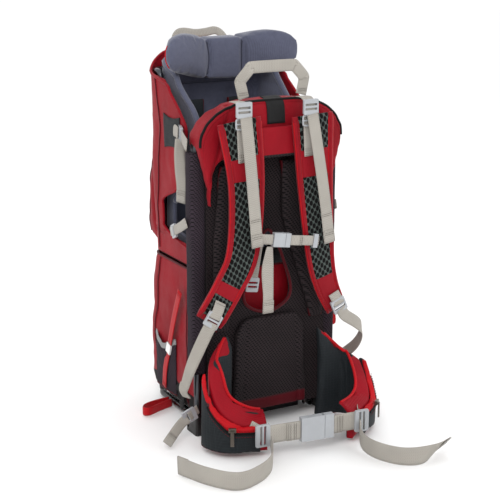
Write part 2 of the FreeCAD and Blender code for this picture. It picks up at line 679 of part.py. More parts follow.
def make_buckle(prefix, strip, web, sizes):
    """A side-release buckle: a socket with open sides, a plug with a middle tongue, and two latch arms.

    The latch arms fill the socket's side windows. sizes holds socket start and mouth, plug end, height over the
    webbing, thickness, arm height, arm lift and tongue height."""
    start, mouth, plug_end, over, thick, arm_height, arm_lift, tongue = sizes
    height = web + over
    inside = height - over * 0.56
    bay = strip.block(start + over, mouth + 5, inside, thick * 0.69)
    socket = strip.block(start, mouth, height, thick).cut(bay)
    window_height = (height - inside) / 2 + 1
    arm_depth = thick * 0.6
    button_low = arm_lift + arm_height / 2 - 0.4
    button_high = height / 2 - 0.4
    for name, sign in (("upper", 1), ("lower", -1)):
        window_lift = sign * (inside / 2 + window_height / 2 - 0.5)
        socket = socket.cut(strip.block(start + over + 5, mouth + 5, window_height, thick * 0.69, window_lift))
        arm = strip.block(start + over + 4, mouth + 0.3, arm_height, arm_depth, sign * arm_lift)
        button = strip.block(start + over + 6, mouth - 4, button_high - button_low, arm_depth,
                             sign * (button_low + button_high) / 2)
        feature(f"{prefix}_latch_{name}", arm.fuse(button).removeSplitter())
    feature(prefix + "_buckle_socket", socket)
    plug = strip.block(mouth + 0.9, plug_end, height, thick)
    plug = plug.fuse(strip.block(start + over + 7, mouth + 1.5, tongue, arm_depth)).removeSplitter()
    feature(prefix + "_buckle_plug", plug)


def make_sternum_strap():
    """The chest strap: its webbing and end anchors, and its buckle."""
    y, w, t = size("sternum_y"), size("webbing_slim"), size("webbing_thickness")
    strip = Strip(Vector(-60, y, 422), Vector(74, y, 402), 0.4)
    left_end, right_end = -54.2, 81.2
    anchors = []
    for end in (left_end, right_end):
        block = strip.block(end - 5, end + 5, w + 8, 6)
        anchors.append(block.cut(strip.block(end - 6, end + 6, w + 2, 3)))
    feature("sternum_anchors", group(anchors))
    tail = slat(Vector(-41, y - 1, 388), Vector(-38, y - 1, 266), w + 4, t, Vector(0, -1, 0))
    feature("sternum_webbing", group([strip.block(left_end - 9, -18.3, w, t), tail]))
    feature("sternum_webbing_right", strip.block(20.4, right_end + 10, w, t))
    make_buckle("sternum", strip, w, (-18, 8, 20, 8, 11, 5, 6.4, 2.4))


# ---------------------------------------------------------------- hip belt

LEFT_WING = [(-98, -104), (-172, -110), (-152, -178), (-72, -206)]
RIGHT_WING = [(98, -104), (184, -110), (170, -192), (92, -242)]
WING_RADII = [34, 40]
WING_SLOPES = {
    "left": [(98, 230), (118, 220), (150, 186), (170, 168), (210, 152)],
    "right": [(98, 214), (112, 202), (150, 168), (168, 152), (184, 136), (210, 128)],
}


def wing_path(corners):
    """The plan of a hip wing: out from the lumbar pad, round the hip and back in to its tip."""
    return rounded_path([Vector(x, y, 0) for x, y in corners], WING_RADII)


def outer_band(path, inner_offset, thickness):
    """A flat band outside an open path, between two offsets of it."""
    choices = [path.makeOffset2D(sign * inner_offset, 0, False, True) for sign in (1, -1)]
    sign, edge = max(zip((1, -1), choices), key=lambda pair: pair[1].Length)
    return edge.makeOffset2D(sign * thickness, 0, True, True)


def make_hip_belt():
    """The two padded hip wings with a zipped pouch on each."""
    t, low = size("wing_thickness"), size("wing_low_z")
    gap, pouch = size("part_gap"), size("pouch_thickness")
    top_line = [(-60, 226), (-100, 222), (-130, 172), (-165, 122), (-200, 84), (-320, 70)]
    under_line = [(-124, 168), (-165, 108), (-200, 70), (-320, 58)]
    for name, corners in (("left", LEFT_WING), ("right", RIGHT_WING)):
        path = wing_path(corners)
        limit = front_profile(both_sides([(0, 240), *WING_SLOPES[name], (210, -1)]), -320, 300)
        wall = upright_ribbon(path, t, low, 240).common(limit)
        feature("hip_wing_" + name, wall.common(side_profile([*top_line, (-320, -1), (-60, -1)], 320)))
        band = outer_band(path, t / 2 + gap, pouch).extrude(Vector(0, 0, 240))
        band.translate(Vector(0, 0, low + 5))
        band = band.common(limit)
        body = band.common(side_profile([*under_line, (-320, -1), (-124, -1)], 320))
        tip_x = corners[-1][0]
        side = 1 if tip_x > 0 else -1
        reach = Part.makeBox(400, 400, 400, Vector(tip_x + 30 if side > 0 else tip_x - 22 - 400, -400, -10))
        feature("hip_pouch_" + name, body.common(reach))


def make_waist_strap(wide_lock):
    """The waist webbing with its buckle and its loose tails. Returns the two ladder locks."""
    z, w, t = size("belt_z"), size("webbing_wide"), size("webbing_thickness")
    left, right = Vector(-100, -232, z), Vector(112, -257, z)
    strip = Strip(left, right, 0.52)
    left_end = -(left - strip.centre).Length
    right_end = (right - strip.centre).Length
    make_buckle("waist", strip, w, (-30, 20, 40, 12, size("buckle_thickness"), 9, 15.8, 12))
    feature("waist_webbing_right", strip.block(40.4, right_end + 10, w, t))
    tail_left = rounded_path([Vector(-84, -252, 0), Vector(-138, -312, 0), Vector(-206, -336, 0),
                              Vector(-246, -284, 0), Vector(-276, -210, 0)], [50, 60, 60])
    tail_right = rounded_path([Vector(97, -277, 0), Vector(88, -318, 0), Vector(110, -366, 0),
                               Vector(152, -409, 0), Vector(232, -382, 0)], [60, 60, 30])
    tails = [upright_ribbon(p, t, 1.5, w) for p in (tail_left, tail_right)]
    feature("waist_webbing", group([strip.block(left_end + 15.6, -30.3, w, t), *tails]))
    return [placed(wide_lock, facing(strip.point(left_end), strip.along, strip.outward)),
            placed(wide_lock, facing(strip.point(right_end, 0, 4.5), strip.along, strip.outward))]


def arc_centre(corners, index, radius):
    """The centre of the arc that rounds one corner of a path."""
    before, corner, after = [Vector(*corners[k], 0) for k in (index - 1, index, index + 1)]
    back, ahead = (before - corner).normalize(), (after - corner).normalize()
    return corner + (back + ahead).normalize() * (radius / math.sin(back.getAngle(ahead) / 2))


def make_zip_sliders():
    """The sliders and pull tabs of the two hip pouches."""
    gap = size("part_gap")
    width, length, thick = size("slider_width"), size("slider_length"), size("slider_thickness")
    for name, corners, angle in (("left", LEFT_WING, 240), ("right", RIGHT_WING, -50)):
        centre = arc_centre(corners, 2, WING_RADII[1])
        face = WING_RADII[1] + size("wing_thickness") / 2 + size("pouch_thickness") + 2 * gap
        ray = Vector(math.cos(math.radians(angle)), math.sin(math.radians(angle)), 0)
        middle = centre + Vector(0, 0, 64) + ray * (face + thick / 2 + 0.6)
        run = Vector(-ray.y, ray.x, 0)
        feature("hip_zip_slider_" + name,
                slat(middle - run * length / 2, middle + run * length / 2, width, thick, ray))
        hook = middle + ray * (thick / 2 + 2)
        feature("hip_zip_pull_" + name, slat(hook, hook - Vector(0, 0, 32), 7, 2.4, ray))


# ---------------------------------------------------------------- straps, handles and stirrup


def make_pack_straps(mid_lock, slim_lock, waist_locks):
    """The grey straps fixed to the pack, and every ladder lock that stays with it."""
    straps, locks = [], list(waist_locks)
    w, s, t = size("webbing_mid"), size("webbing_slim"), size("webbing_thickness")
    for side in SIDES.values():
        out = Vector(side, 0, 0)
        locks.append(placed(mid_lock, facing(Vector(side * 146, 22, 612), Vector(side * 0.34, -1, -0.1), out)))
        straps.append(slat(Vector(side * 152, 4, 610), Vector(side * 173, -60, 604), w, t, out))
        locks.append(placed(slim_lock, facing(Vector(side * 146, 58, 406), Vector(side * 0.2, -1, 0.4), out)))
        straps.append(slat(Vector(side * 153, 41, 413), Vector(side * 176, -60, 452), s, t, out))
        locks.append(placed(slim_lock, facing(Vector(side * 180, -72, 52), Vector(side, 0, -0.4),
                                              Vector(0, -1, 0))))
    straps.append(slat(Vector(-197, -73, 44), Vector(-246, -100, 14), s, t, Vector(-0.3, -1, 0.4)))
    straps.append(slat(Vector(197, -73, 44), Vector(226, -84, 20), s, t, Vector(0.3, -1, 0.4)))
    straps.append(slat(Vector(171, -34, 342), Vector(191, -6, 336), s, t, Vector(0.8, -0.6, 0)))
    straps.append(slat(Vector(-24, -75, 385), Vector(-34, -75, 327), s, t, Vector(0, -1, 0)))
    locks.append(placed(slim_lock, facing(Vector(-37, -76, 310), Vector(-0.17, 0, -1), Vector(0, -1, 0))))
    feature("pack_straps", group(straps))
    feature("pack_locks", group(locks))


def make_stand_straps():
    """The red straps down the pack's sides, each with a small plastic hook."""
    straps, hooks = [], []
    thin = t_web()
    for side in SIDES.values():
        x = side * 150
        out = Vector(side, 0, 0)
        top, middle, low = Vector(x, 28, 284), Vector(x, 88, 140), Vector(x, 112, 48)
        straps.append(slat(top, middle + (top - middle) * 0.1, 12, thin, out))
        straps.append(slat(middle - (middle - low) * 0.1, low, 12, thin, out))
        hooks.append(slat(middle + (top - middle) * 0.09, middle - (middle - low) * 0.09, 18, 4, out))
    feature("stand_straps", group(straps))
    feature("stand_strap_hooks", group(hooks))


def t_web():
    """The thickness of webbing."""
    return size("webbing_thickness")


def long_edges(shape, axis):
    """The edges of a box that run along one axis."""
    return [e for e in shape.Edges if getattr(e.BoundBox, axis + "Length") > 1]


def handle_shape(half_width, low_z, high_z, y, band):
    """A flat handle of webbing with folded corners, seen from the front."""
    shoulder = high_z - (high_z - low_z) * 0.46
    outer = [(-half_width + 8, low_z), (-half_width, shoulder), (-half_width + 25, high_z),
             (half_width - 25, high_z), (half_width, shoulder), (half_width - 8, low_z)]
    inner = [(half_width - 8 - band, low_z), (half_width - band, shoulder - 2), (half_width - 36, high_z - band),
             (-half_width + 36, high_z - band), (-half_width + band, shoulder - 2), (-half_width + 8 + band, low_z)]
    return front_profile([*outer, *inner], y, 3)


def make_handles():
    """The two carrying handles, front and back."""
    feature("grab_handle_front", handle_shape(84, 692, 769, -92, 24))
    rear = handle_shape(66, 752, 806, 209, 18)
    rear.rotate(Vector(0, 209, 752), Vector(1, 0, 0), -24)
    feature("grab_handle_rear", rear)


def make_stirrup():
    """The child's foot loop, hanging on a short strap from the pack's side."""
    x = 186
    outer = smooth([Vector(x, -26, 172), Vector(x, 12, 160), Vector(x, 50, 172), Vector(x, 34, 262),
                    Vector(x, 12, 290), Vector(x, -10, 262)])
    inner = smooth([Vector(x - 20, -18, 180), Vector(x - 20, 12, 170), Vector(x - 20, 42, 180),
                    Vector(x - 20, 28, 252), Vector(x - 20, 12, 270), Vector(x - 20, -4, 252)])
    band = prism(outer, Vector(16, 0, 0)).cut(prism(inner, Vector(60, 0, 0)))
    strap = Part.makeBox(2, 20, 46, Vector(x + 7, 2, 284))
    feature("stirrup_right", band.fuse(strap).removeSplitter())


# ---------------------------------------------------------------- build and write


def main():
    """Builds every sub-part, checks it and writes it."""
    mid_lock = lock_body("lock_mid", "webbing_mid")
    slim_lock = lock_body("lock_slim", "webbing_slim")
    wide_lock = lock_body("lock_wide", "webbing_wide")
    make_frame()
    make_stand()
    make_storage()
    make_cockpit()
    make_back_system()
    make_harness(mid_lock)
    make_sternum_strap()
    make_hip_belt()
    waist_locks = make_waist_strap(wide_lock)
    make_zip_sliders()
    make_pack_straps(mid_lock, slim_lock, waist_locks)
    make_stand_straps()
    make_handles()
    make_stirrup()
    doc.recompute()
    failed = [o.Label for o in doc.Objects if "Invalid" in o.State or "Error" in o.State]
    if failed:
        raise RuntimeError(f"objects failed to recompute: {failed}")
    os.makedirs(OUT, exist_ok=True)
    for old in os.listdir(OUT):
        os.remove(os.path.join(OUT, old))
    for obj in nodes:
        shape = obj.Shape
        if shape.isNull() or not shape.isValid() or not shape.Solids:
            raise RuntimeError(f"{obj.Label} has no valid solid")
        shape.exportStep(os.path.join(OUT, obj.Label + ".step"))
    print(len(nodes), "sub-parts written")


main()
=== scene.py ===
"""A framed child carrier backpack: sewn covers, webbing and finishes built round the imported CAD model.

Every length is in metres in the CAD's own frame: +X is the wearer's right, -Y lies on the wearer's back
and +Z is up. Routes repeat the CAD's own points, in millimetres, through mm() and route().
"""

import json
import logging
import math
from collections.abc import Callable, Sequence
from dataclasses import dataclass, field
from enum import Enum

import bpy
import numpy as np
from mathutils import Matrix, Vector, noise
from mathutils.bvhtree import BVHTree

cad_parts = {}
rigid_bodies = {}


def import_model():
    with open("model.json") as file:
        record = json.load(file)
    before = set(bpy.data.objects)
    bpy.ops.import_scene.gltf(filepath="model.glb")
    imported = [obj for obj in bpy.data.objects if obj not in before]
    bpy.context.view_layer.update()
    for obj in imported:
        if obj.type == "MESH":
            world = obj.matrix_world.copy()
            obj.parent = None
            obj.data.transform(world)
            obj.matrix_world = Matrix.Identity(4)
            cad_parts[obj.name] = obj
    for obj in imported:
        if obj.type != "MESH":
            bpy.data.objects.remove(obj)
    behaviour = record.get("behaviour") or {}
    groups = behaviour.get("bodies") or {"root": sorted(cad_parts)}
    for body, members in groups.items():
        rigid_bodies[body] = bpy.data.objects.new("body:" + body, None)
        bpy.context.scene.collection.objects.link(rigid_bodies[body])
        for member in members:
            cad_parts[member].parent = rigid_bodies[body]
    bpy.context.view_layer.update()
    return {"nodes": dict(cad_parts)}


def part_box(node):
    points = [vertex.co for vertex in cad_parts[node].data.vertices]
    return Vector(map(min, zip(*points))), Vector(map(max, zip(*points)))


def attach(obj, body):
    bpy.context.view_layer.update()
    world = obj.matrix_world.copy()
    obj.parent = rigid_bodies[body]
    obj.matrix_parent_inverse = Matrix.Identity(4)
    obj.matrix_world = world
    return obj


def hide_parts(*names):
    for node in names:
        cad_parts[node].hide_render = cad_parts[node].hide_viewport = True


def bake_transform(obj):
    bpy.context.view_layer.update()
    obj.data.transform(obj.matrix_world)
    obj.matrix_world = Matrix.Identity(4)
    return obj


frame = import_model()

LOG = logging.getLogger("carrier")
FRONT = Vector((0, -1, 0))
UP = Vector((0, 0, 1))
LEFT, RIGHT = -1, 1
SIDES = (("left", LEFT), ("right", RIGHT))
BACK = Vector((0, 1, 0))
Colour = tuple[float, float, float]
Table = tuple[tuple[float, float], ...]
Line = Sequence[Vector]
Piece = bpy.types.Object


def mm(x: float, y: float, z: float) -> Vector:
    """A point given in millimetres."""
    return Vector((x, y, z)) / 1000


def route(*points: tuple[float, float, float], side: int = RIGHT) -> list[Vector]:
    """Points given in millimetres, mirrored where the side is LEFT."""
    return [mm(side * x, y, z) for x, y, z in points]


def shade(red: int, green: int, blue: int) -> Colour:
    """A display colour, 0 to 255, as the linear colour that shaders take."""
    return tuple(((c / 255 + 0.055) / 1.055) ** 2.4 if c > 10 else c / 255 / 12.92
                 for c in (red, green, blue))


# ---------------------------------------------------------------- shader graph


class Sock:
    """A shader socket that works in Python expressions: each operator adds one Math node."""

    def __init__(self, graph: "Graph", out: bpy.types.NodeSocket) -> None:
        """Wraps one output socket of a graph."""
        self.graph = graph
        self.out = out

    def math(self, operation: str, *others: "Sock | float") -> "Sock":
        """A Math node on this value and up to two others."""
        return self.graph.node("ShaderNodeMath", {"operation": operation}, dict(enumerate((self, *others))))

    def __add__(self, other: "Sock | float") -> "Sock":
        """self + other."""
        return self.math("ADD", other)

    __radd__ = __add__

    def __sub__(self, other: "Sock | float") -> "Sock":
        """self - other."""
        return self.math("SUBTRACT", other)

    def __rsub__(self, other: float) -> "Sock":
        """other - self."""
        return self.graph.node("ShaderNodeMath", {"operation": "SUBTRACT"}, {0: other, 1: self})

    def __mul__(self, other: "Sock | float") -> "Sock":
        """self * other."""
        return self.math("MULTIPLY", other)

    __rmul__ = __mul__

    def __truediv__(self, other: "Sock | float") -> "Sock":
        """self / other."""
        return self.math("DIVIDE", other)

    def __abs__(self) -> "Sock":
        """The value without its sign."""
        return self.math("ABSOLUTE")

    def wave(self, pitch: float) -> "Sock":
        """A smooth wave from 0 to 1 that repeats every pitch."""
        return (self * (2 * math.pi / pitch)).math("SINE") * 0.5 + 0.5

    def saw(self, pitch: float) -> "Sock":
        """The place within each repeat, from -0.5 to 0.5."""
        return (self / pitch).math("WRAP", 0.5, -0.5)

    def ramp(self, low: float, high: float) -> "Sock":
        """0 below low, 1 above high and smooth between them."""
        settings = {"interpolation_type": "SMOOTHSTEP"}
        return self.graph.node("ShaderNodeMapRange", settings, {0: self, 1: low, 2: high})


Value = Sock | float | Colour


class Graph:
    """The node tree of one material."""

    def __init__(self, name: str) -> None:
        """Starts an empty material."""
        self.material = bpy.data.materials.new(name)
        self.material.use_nodes = True
        self.tree = self.material.node_tree
        self.tree.nodes.clear()
        self._place: tuple[Sock, Sock, Sock] | None = None

    def node(self, kind: str, settings: dict | None = None, sockets: dict | None = None,
             out: int = 0) -> Sock:
        """Adds one node.

        Args:
            kind: the node's Blender type.
            settings: properties set before the sockets.
            sockets: values or links by socket name or number.
            out: which output to return.

        Returns:
            The chosen output.
        """
        made = self.tree.nodes.new(kind)
        for key, value in (settings or {}).items():
            setattr(made, key, value)
        for key, value in (sockets or {}).items():
            socket = made.inputs[key]
            if isinstance(value, Sock):
                self.tree.links.new(value.out, socket)
            elif isinstance(value, tuple) and len(value) == 3 and len(socket.default_value) == 4:
                socket.default_value = (*value, 1)
            else:
                socket.default_value = value
        return Sock(self, made.outputs[out] if made.outputs else None)

    def split(self, vector: Sock) -> tuple[Sock, Sock, Sock]:
        """The three parts of a vector."""
        parts = self.node("ShaderNodeSeparateXYZ", {}, {0: vector})
        return tuple(Sock(self, out) for out in parts.out.node.outputs)

    def place(self) -> tuple[Sock, Sock, Sock]:
        """x, y and z of the point, in metres."""
        if self._place is None:
            self._place = self.split(self.node("ShaderNodeTexCoord", {}, {}, 3))
        return self._place

    def strap_place(self) -> tuple[Sock, Sock]:
        """The distances across and along a strap, in metres."""
        across, along, _ = self.split(self.node("ShaderNodeUVMap", {"uv_map": "strap"}))
        return across, along

    def paint(self, name: str) -> Sock:
        """A number painted on the mesh's points."""
        return self.node("ShaderNodeAttribute", {"attribute_name": name}, {}, 2)

    def noise(self, scale: float, detail: float = 2.0, stretch: Colour = (1, 1, 1)) -> Sock:
        """Cloudy noise from 0 to 1, with about scale lumps to a metre."""
        place = self.node("ShaderNodeTexCoord", {}, {}, 3)
        mapped = self.node("ShaderNodeMapping", {}, {0: place, 3: stretch})
        return self.node("ShaderNodeTexNoise", {}, {"Vector": mapped, "Scale": scale, "Detail": detail})

    def mix(self, factor: Value, first: Value, second: Value) -> Sock:
        """A colour between two colours."""
        return self.node("ShaderNodeMix", {"data_type": "RGBA"}, {0: factor, 6: first, 7: second}, 2)

    def blend(self, factor: Sock, first: Value, second: Value) -> Sock:
        """A number between two numbers."""
        return self.node("ShaderNodeMix", {}, {0: factor, 2: first, 3: second}, 0)


def scaled(colour: Colour, share: float) -> Colour:
    """A colour made lighter or darker."""
    return tuple(min(1.0, c * share) for c in colour)


@dataclass(frozen=True)
class Skin:
    """What a finish gives at each point: colour, roughness and height."""

    colour: Value
    roughness: Value
    height: Value


# ---------------------------------------------------------------- finishes


@dataclass(frozen=True)
class Finish:
    """A finish, and the material made from it."""

    name: str
    colour: Colour
    rough: float = 0.75
    depth: float = 0.0006
    sheen: float = 0.0
    metal: float = 0.0
    gloss: float = 0.14

    def skin(self, g: Graph) -> Skin:
        """The finish at each point: faintly clouded, with a fine grain.

        Args:
            g: the material's graph.

        Returns:
            Colour, roughness and height.
        """
        cloud = g.noise(14, 3)
        grain = g.noise(900, 1)
        colour = g.mix(cloud, scaled(self.colour, 0.86), scaled(self.colour, 1.12))
        return Skin(colour, cloud * 0.12 + (self.rough - 0.06), grain)

    def material(self) -> bpy.types.Material:
        """The material, made once."""
        made = bpy.data.materials.get(self.name)
        if made:
            return made
        g = Graph(self.name)
        skin = self.skin(g)
        bump = g.node("ShaderNodeBump", {}, {"Strength": 1.0, "Distance": self.depth, "Height": skin.height})
        shader = g.node("ShaderNodeBsdfPrincipled", {}, {
            "Base Color": skin.colour, "Roughness": skin.roughness, "Normal": bump, "Metallic": self.metal,
            "Sheen Weight": self.sheen, "Sheen Roughness": 0.45, "Specular IOR Level": self.gloss})
        g.node("ShaderNodeOutputMaterial", {}, {"Surface": shader})
        return g.material


@dataclass(frozen=True)
class Plain(Finish):
    """One even colour, with no texture."""

    def skin(self, g: Graph) -> Skin:
        """The same everywhere."""
        return Skin(self.colour, self.rough, 0.0)


@dataclass(frozen=True)
class Woven(Finish):
    """Pack cloth: a plain weave with crinkles, a ripstop grid if asked, and a soft sheen."""

    pitch: float = 0.0021
    crinkle: float = 1.6
    grid: float = 0.0
    stretch: Colour = (1.0, 1.0, 0.55)

    def skin(self, g: Graph) -> Skin:
        """Weave, crinkles and uneven dye, with painted shade in the crinkles' hollows."""
        x, y, z = g.place()
        weft = x * 0.87 + y
        weave = (weft + z * 0.12).wave(self.pitch) * (z - weft * 0.08).wave(self.pitch)
        crinkle = g.noise(17, 5, self.stretch)
        fold = g.noise(46, 3, (1, 1, 0.4))
        dye = g.noise(6, 2)
        # painted shade: the crinkle noise darkens the colour in the crinkles' hollows and lightens their
        # crowns; the dye noise is real uneven dye
        lit = dye * 0.45 + crinkle * 0.4 + weave * 0.25
        colour = g.mix(lit.ramp(0.2, 0.85), scaled(self.colour, 0.7), scaled(self.colour, 1.28))
        height = weave * 0.22 + crinkle * self.crinkle + fold * (self.crinkle * 0.35)
        if self.grid:
            ribs = [abs(part.saw(self.grid)).ramp(0.09, 0.02) for part in (weft, z)]
            rib = ribs[0].math("MAXIMUM", ribs[1])
            colour = g.mix(rib * 0.35, colour, scaled(self.colour, 1.5))
            height = height + rib * 0.3
        return Skin(colour, 1 - lit * 0.22 - (1 - self.rough), height)


@dataclass(frozen=True)
class Tricot(Finish):
    """Soft brushed knit over foam."""

    def skin(self, g: Graph) -> Skin:
        """Fine knit wales, a brushed cloud and slow dimples, with painted shade in the dimples."""
        x, y, z = g.place()
        wale = (x + y * 0.8).wave(0.0024)
        nap = g.noise(160, 4)
        dimple = g.noise(9, 3)
        # painted shade: the dimple noise darkens the colour in the dimples' hollows and lightens their tops
        lit = nap * 0.3 + dimple * 0.55 + wale * 0.15
        colour = g.mix(lit.ramp(0.25, 0.8), scaled(self.colour, 0.78), scaled(self.colour, 1.2))
        return Skin(colour, nap * 0.1 + (self.rough - 0.05), wale * 0.12 + nap * 0.5 + dimple * 2.2)


@dataclass(frozen=True)
class Strap(Finish):
    """Woven webbing: chevron ribs across it and faint soiling."""

    pitch: float = 0.0036
    chevron: float = 0.0065

    def skin(self, g: Graph) -> Skin:
        """Ribs that lean one way and then the other across the strap."""
        across, along = g.strap_place()
        lean = abs(across.saw(self.chevron))
        rib = (along + lean * self.pitch * 1.1).wave(self.pitch)
        yarn = across.wave(0.0011)
        soil = g.noise(28, 4)
        tone = rib * 0.5 + yarn * 0.14 + soil * 0.46
        colour = g.mix(tone.ramp(0.15, 0.8), scaled(self.colour, 0.72), scaled(self.colour, 1.12))
        return Skin(colour, soil * 0.12 + (self.rough - 0.06), rib * 0.9 + yarn * 0.25 + soil * 0.5)


@dataclass(frozen=True)
class AirMesh(Finish):
    """Spacer mesh: small cells on the slant with painted shade inside them, and paler threads between."""

    pitch: float = 0.0062
    thread: Colour = (0.03, 0.03, 0.03)

    def skin(self, g: Graph) -> Skin:
        """Slanting rows of cells."""
        x, y, z = g.place()
        level = x * 0.9 + y
        first = (level + z * 0.62).wave(self.pitch)
        second = (level * 0.55 - z).wave(self.pitch * 0.86)
        cell = (first * second).ramp(0.18, 0.52)
        cloud = g.noise(13, 3)
        wall = g.mix(cloud, scaled(self.thread, 0.75), scaled(self.thread, 1.35))
        # painted shade: the sunken cells take half the mesh's colour, darker than the threads round them
        colour = g.mix(cell, wall, scaled(self.colour, 0.5))
        return Skin(colour, cloud * 0.1 + (self.rough - 0.05), cell * -1.0 + cloud * 1.5)


@dataclass(frozen=True)
class HoneyMesh(Finish):
    """Open mesh of staggered oval holes between raised ribs, with painted shade in the holes and a painted
    highlight on the ribs' crowns.
    """

    width: float = 0.0126
    height: float = 0.0158
    hole: Colour = (0.002, 0.002, 0.002)

    def skin(self, g: Graph) -> Skin:
        """Two staggered grids of ovals give the holes."""
        x, _, z = g.place()
        lean = x + z * 0.16
        holes = []
        for shift in (0.0, 0.5):
            u = (lean + shift * self.width).saw(self.width)
            v = (z - lean * 0.3 + shift * self.height).saw(self.height)
            holes.append(u * u * 2.3 + v * v * 2.0)
        nearest = holes[0].math("MINIMUM", holes[1])
        rib = nearest.ramp(0.17, 0.235)
        crown = nearest.ramp(0.19, 0.4)
        grime = g.noise(60, 3)
        # painted shade and highlight: the holes are near black, darker than any cloth here, and the ribs'
        # crowns are painted lighter; the grime noise is uneven tone
        colour = g.mix(rib, self.hole, g.mix(crown * 0.5 + grime * 0.5, scaled(self.colour, 0.6),
                                             scaled(self.colour, 1.35)))
        return Skin(colour, rib * -0.25 + 0.85, rib * 2.4 + crown * 0.8)


@dataclass(frozen=True)
class Moulded(Finish):
    """Moulded plastic or rubber: fine spark texture and faint scuffs."""

    scuff: float = 0.25

    def skin(self, g: Graph) -> Skin:
        """Grain with scuffed patches."""
        grain = g.noise(1400, 2)
        scuff = g.noise(70, 5).ramp(0.45, 0.75)
        cloud = g.noise(20, 2)
        lit = cloud * 0.6 + scuff * self.scuff
        colour = g.mix(lit, scaled(self.colour, 0.88), scaled(self.colour, 1.12))
        return Skin(colour, scuff * 0.14 + (self.rough - 0.05), grain * 0.25 + scuff * 0.1)


@dataclass(frozen=True)
class Drawn(Finish):
    """Drawn or brushed metal, with fine lines round the bar and a few marks."""

    def skin(self, g: Graph) -> Skin:
        """Lines and marks."""
        lines = g.noise(700, 2, (1, 1, 0.05))
        marks = g.noise(45, 4).ramp(0.5, 0.8)
        colour = g.mix(lines * 0.6 + marks * 0.3, scaled(self.colour, 0.8), scaled(self.colour, 1.1))
        return Skin(colour, lines * 0.15 + marks * 0.12 + (self.rough - 0.08), lines * 0.2)


@dataclass(frozen=True)
class Faced(Finish):
    """One finish inside and another over the part of the mesh where a painted number is small."""

    inner: Finish | None = None
    outer: Finish | None = None
    paint: str = "rim"
    edge: float = 0.008
    softness: float = 0.0008

    def skin(self, g: Graph) -> Skin:
        """Both finishes, with a stitched-down step between them."""
        inner, outer = self.inner.skin(g), self.outer.skin(g)
        share = g.paint(self.paint).ramp(self.edge - self.softness, self.edge + self.softness)
        return Skin(g.mix(share, outer.colour, inner.colour),
                    g.blend(share, outer.roughness, inner.roughness),
                    g.blend(share, outer.height + 1.2, inner.height))


RED = shade(140, 6, 24)
BRIGHT_RED = shade(176, 10, 22)
MAROON = shade(78, 10, 20)
GREY = shade(166, 161, 153)
SLATE = shade(86, 89, 107)
CHARCOAL = shade(35, 39, 42)
BLACK = shade(15, 15, 16)
PALE = shade(168, 171, 175)


class Cloths:
    """The finishes that the whole pack shares."""

    red = Woven("red_pack_cloth", RED, 0.66, 0.0012, sheen=0.04)
    red_flat = Woven("red_flat_cloth", RED, 0.68, 0.0006, sheen=0.04, crinkle=0.7)
    bright = Woven("bright_red_cloth", BRIGHT_RED, 0.6, 0.0005, sheen=0.05, crinkle=0.7)
    maroon = Woven("maroon_binding", MAROON, 0.7, 0.0004, sheen=0.1, crinkle=0.8)
    charcoal = Woven("charcoal_cloth", CHARCOAL, 0.7, 0.0007, sheen=0.03, crinkle=0.9, grid=0.006)
    black = Woven("black_cloth", BLACK, 0.75, 0.0005, sheen=0.05, crinkle=0.8)
    slate = Tricot("slate_tricot", SLATE, 0.88, 0.0007, sheen=0.35)
    # painted shade: a darker copy of the slate tricot, for the seat down in the cockpit and the cords in the
    # liner's channels and the headrest's seams
    slate_shaded = Tricot("shaded_slate_tricot", scaled(SLATE, 0.45), 0.88, 0.0006, sheen=0.2)
    webbing = Strap("grey_webbing_weave", GREY, 0.72, 0.0004, sheen=0.1)
    red_webbing = Strap("red_webbing_weave", BRIGHT_RED, 0.62, 0.0004, sheen=0.15)
    black_webbing = Strap("black_webbing_weave", BLACK, 0.75, 0.0004, sheen=0.05)
    mesh = AirMesh("back_air_mesh", BLACK, 0.82, 0.0012, thread=shade(44, 37, 39))
    side_mesh = AirMesh("side_air_mesh", BLACK, 0.82, 0.001, pitch=0.005, thread=shade(54, 45, 53))
    honey = HoneyMesh("honeycomb_mesh", shade(72, 81, 77), 0.7, 0.0012)
    elastic = Strap("grey_elastic", shade(150, 150, 150), 0.7, 0.0004, pitch=0.0022)
    thread = Finish("dark_thread", shade(60, 54, 52), 0.8)
    red_thread = Finish("red_thread", shade(120, 14, 24), 0.8)
    pale = Moulded("pale_plastic", PALE, 0.34, 0.0002, gloss=0.5)
    white = Moulded("white_plastic", shade(196, 198, 200), 0.32, 0.0002, gloss=0.45)
    dark = Moulded("black_plastic_grain", BLACK, 0.42, 0.0003, gloss=0.45)
    rubber = Moulded("black_rubber_grain", shade(14, 14, 15), 0.7, 0.0003, gloss=0.3)
    enamel = Moulded("black_enamel", shade(16, 16, 18), 0.28, 0.0001, gloss=0.6)
    alloy = Drawn("drawn_alloy", shade(84, 86, 90), 0.32, 0.0001, metal=1.0)
    steel = Drawn("turned_steel", shade(150, 148, 146), 0.25, 0.0001, metal=1.0)
    zipper = Drawn("zip_metal_finish", shade(120, 112, 104), 0.36, 0.0001, metal=1.0)


def banded(name: str, inner: Finish, outer: Finish, edge: float) -> Faced:
    """A cloth with a band of another cloth along its edge."""
    return Faced(name, inner.colour, sheen=inner.sheen, depth=inner.depth, inner=inner, outer=outer,
                 edge=edge)


# ---------------------------------------------------------------- meshes


def dress(piece: Piece, finish: Finish) -> Piece:
    """Gives a piece one finish."""
    piece.data.materials.clear()
    piece.data.materials.append(finish.material())
    return piece


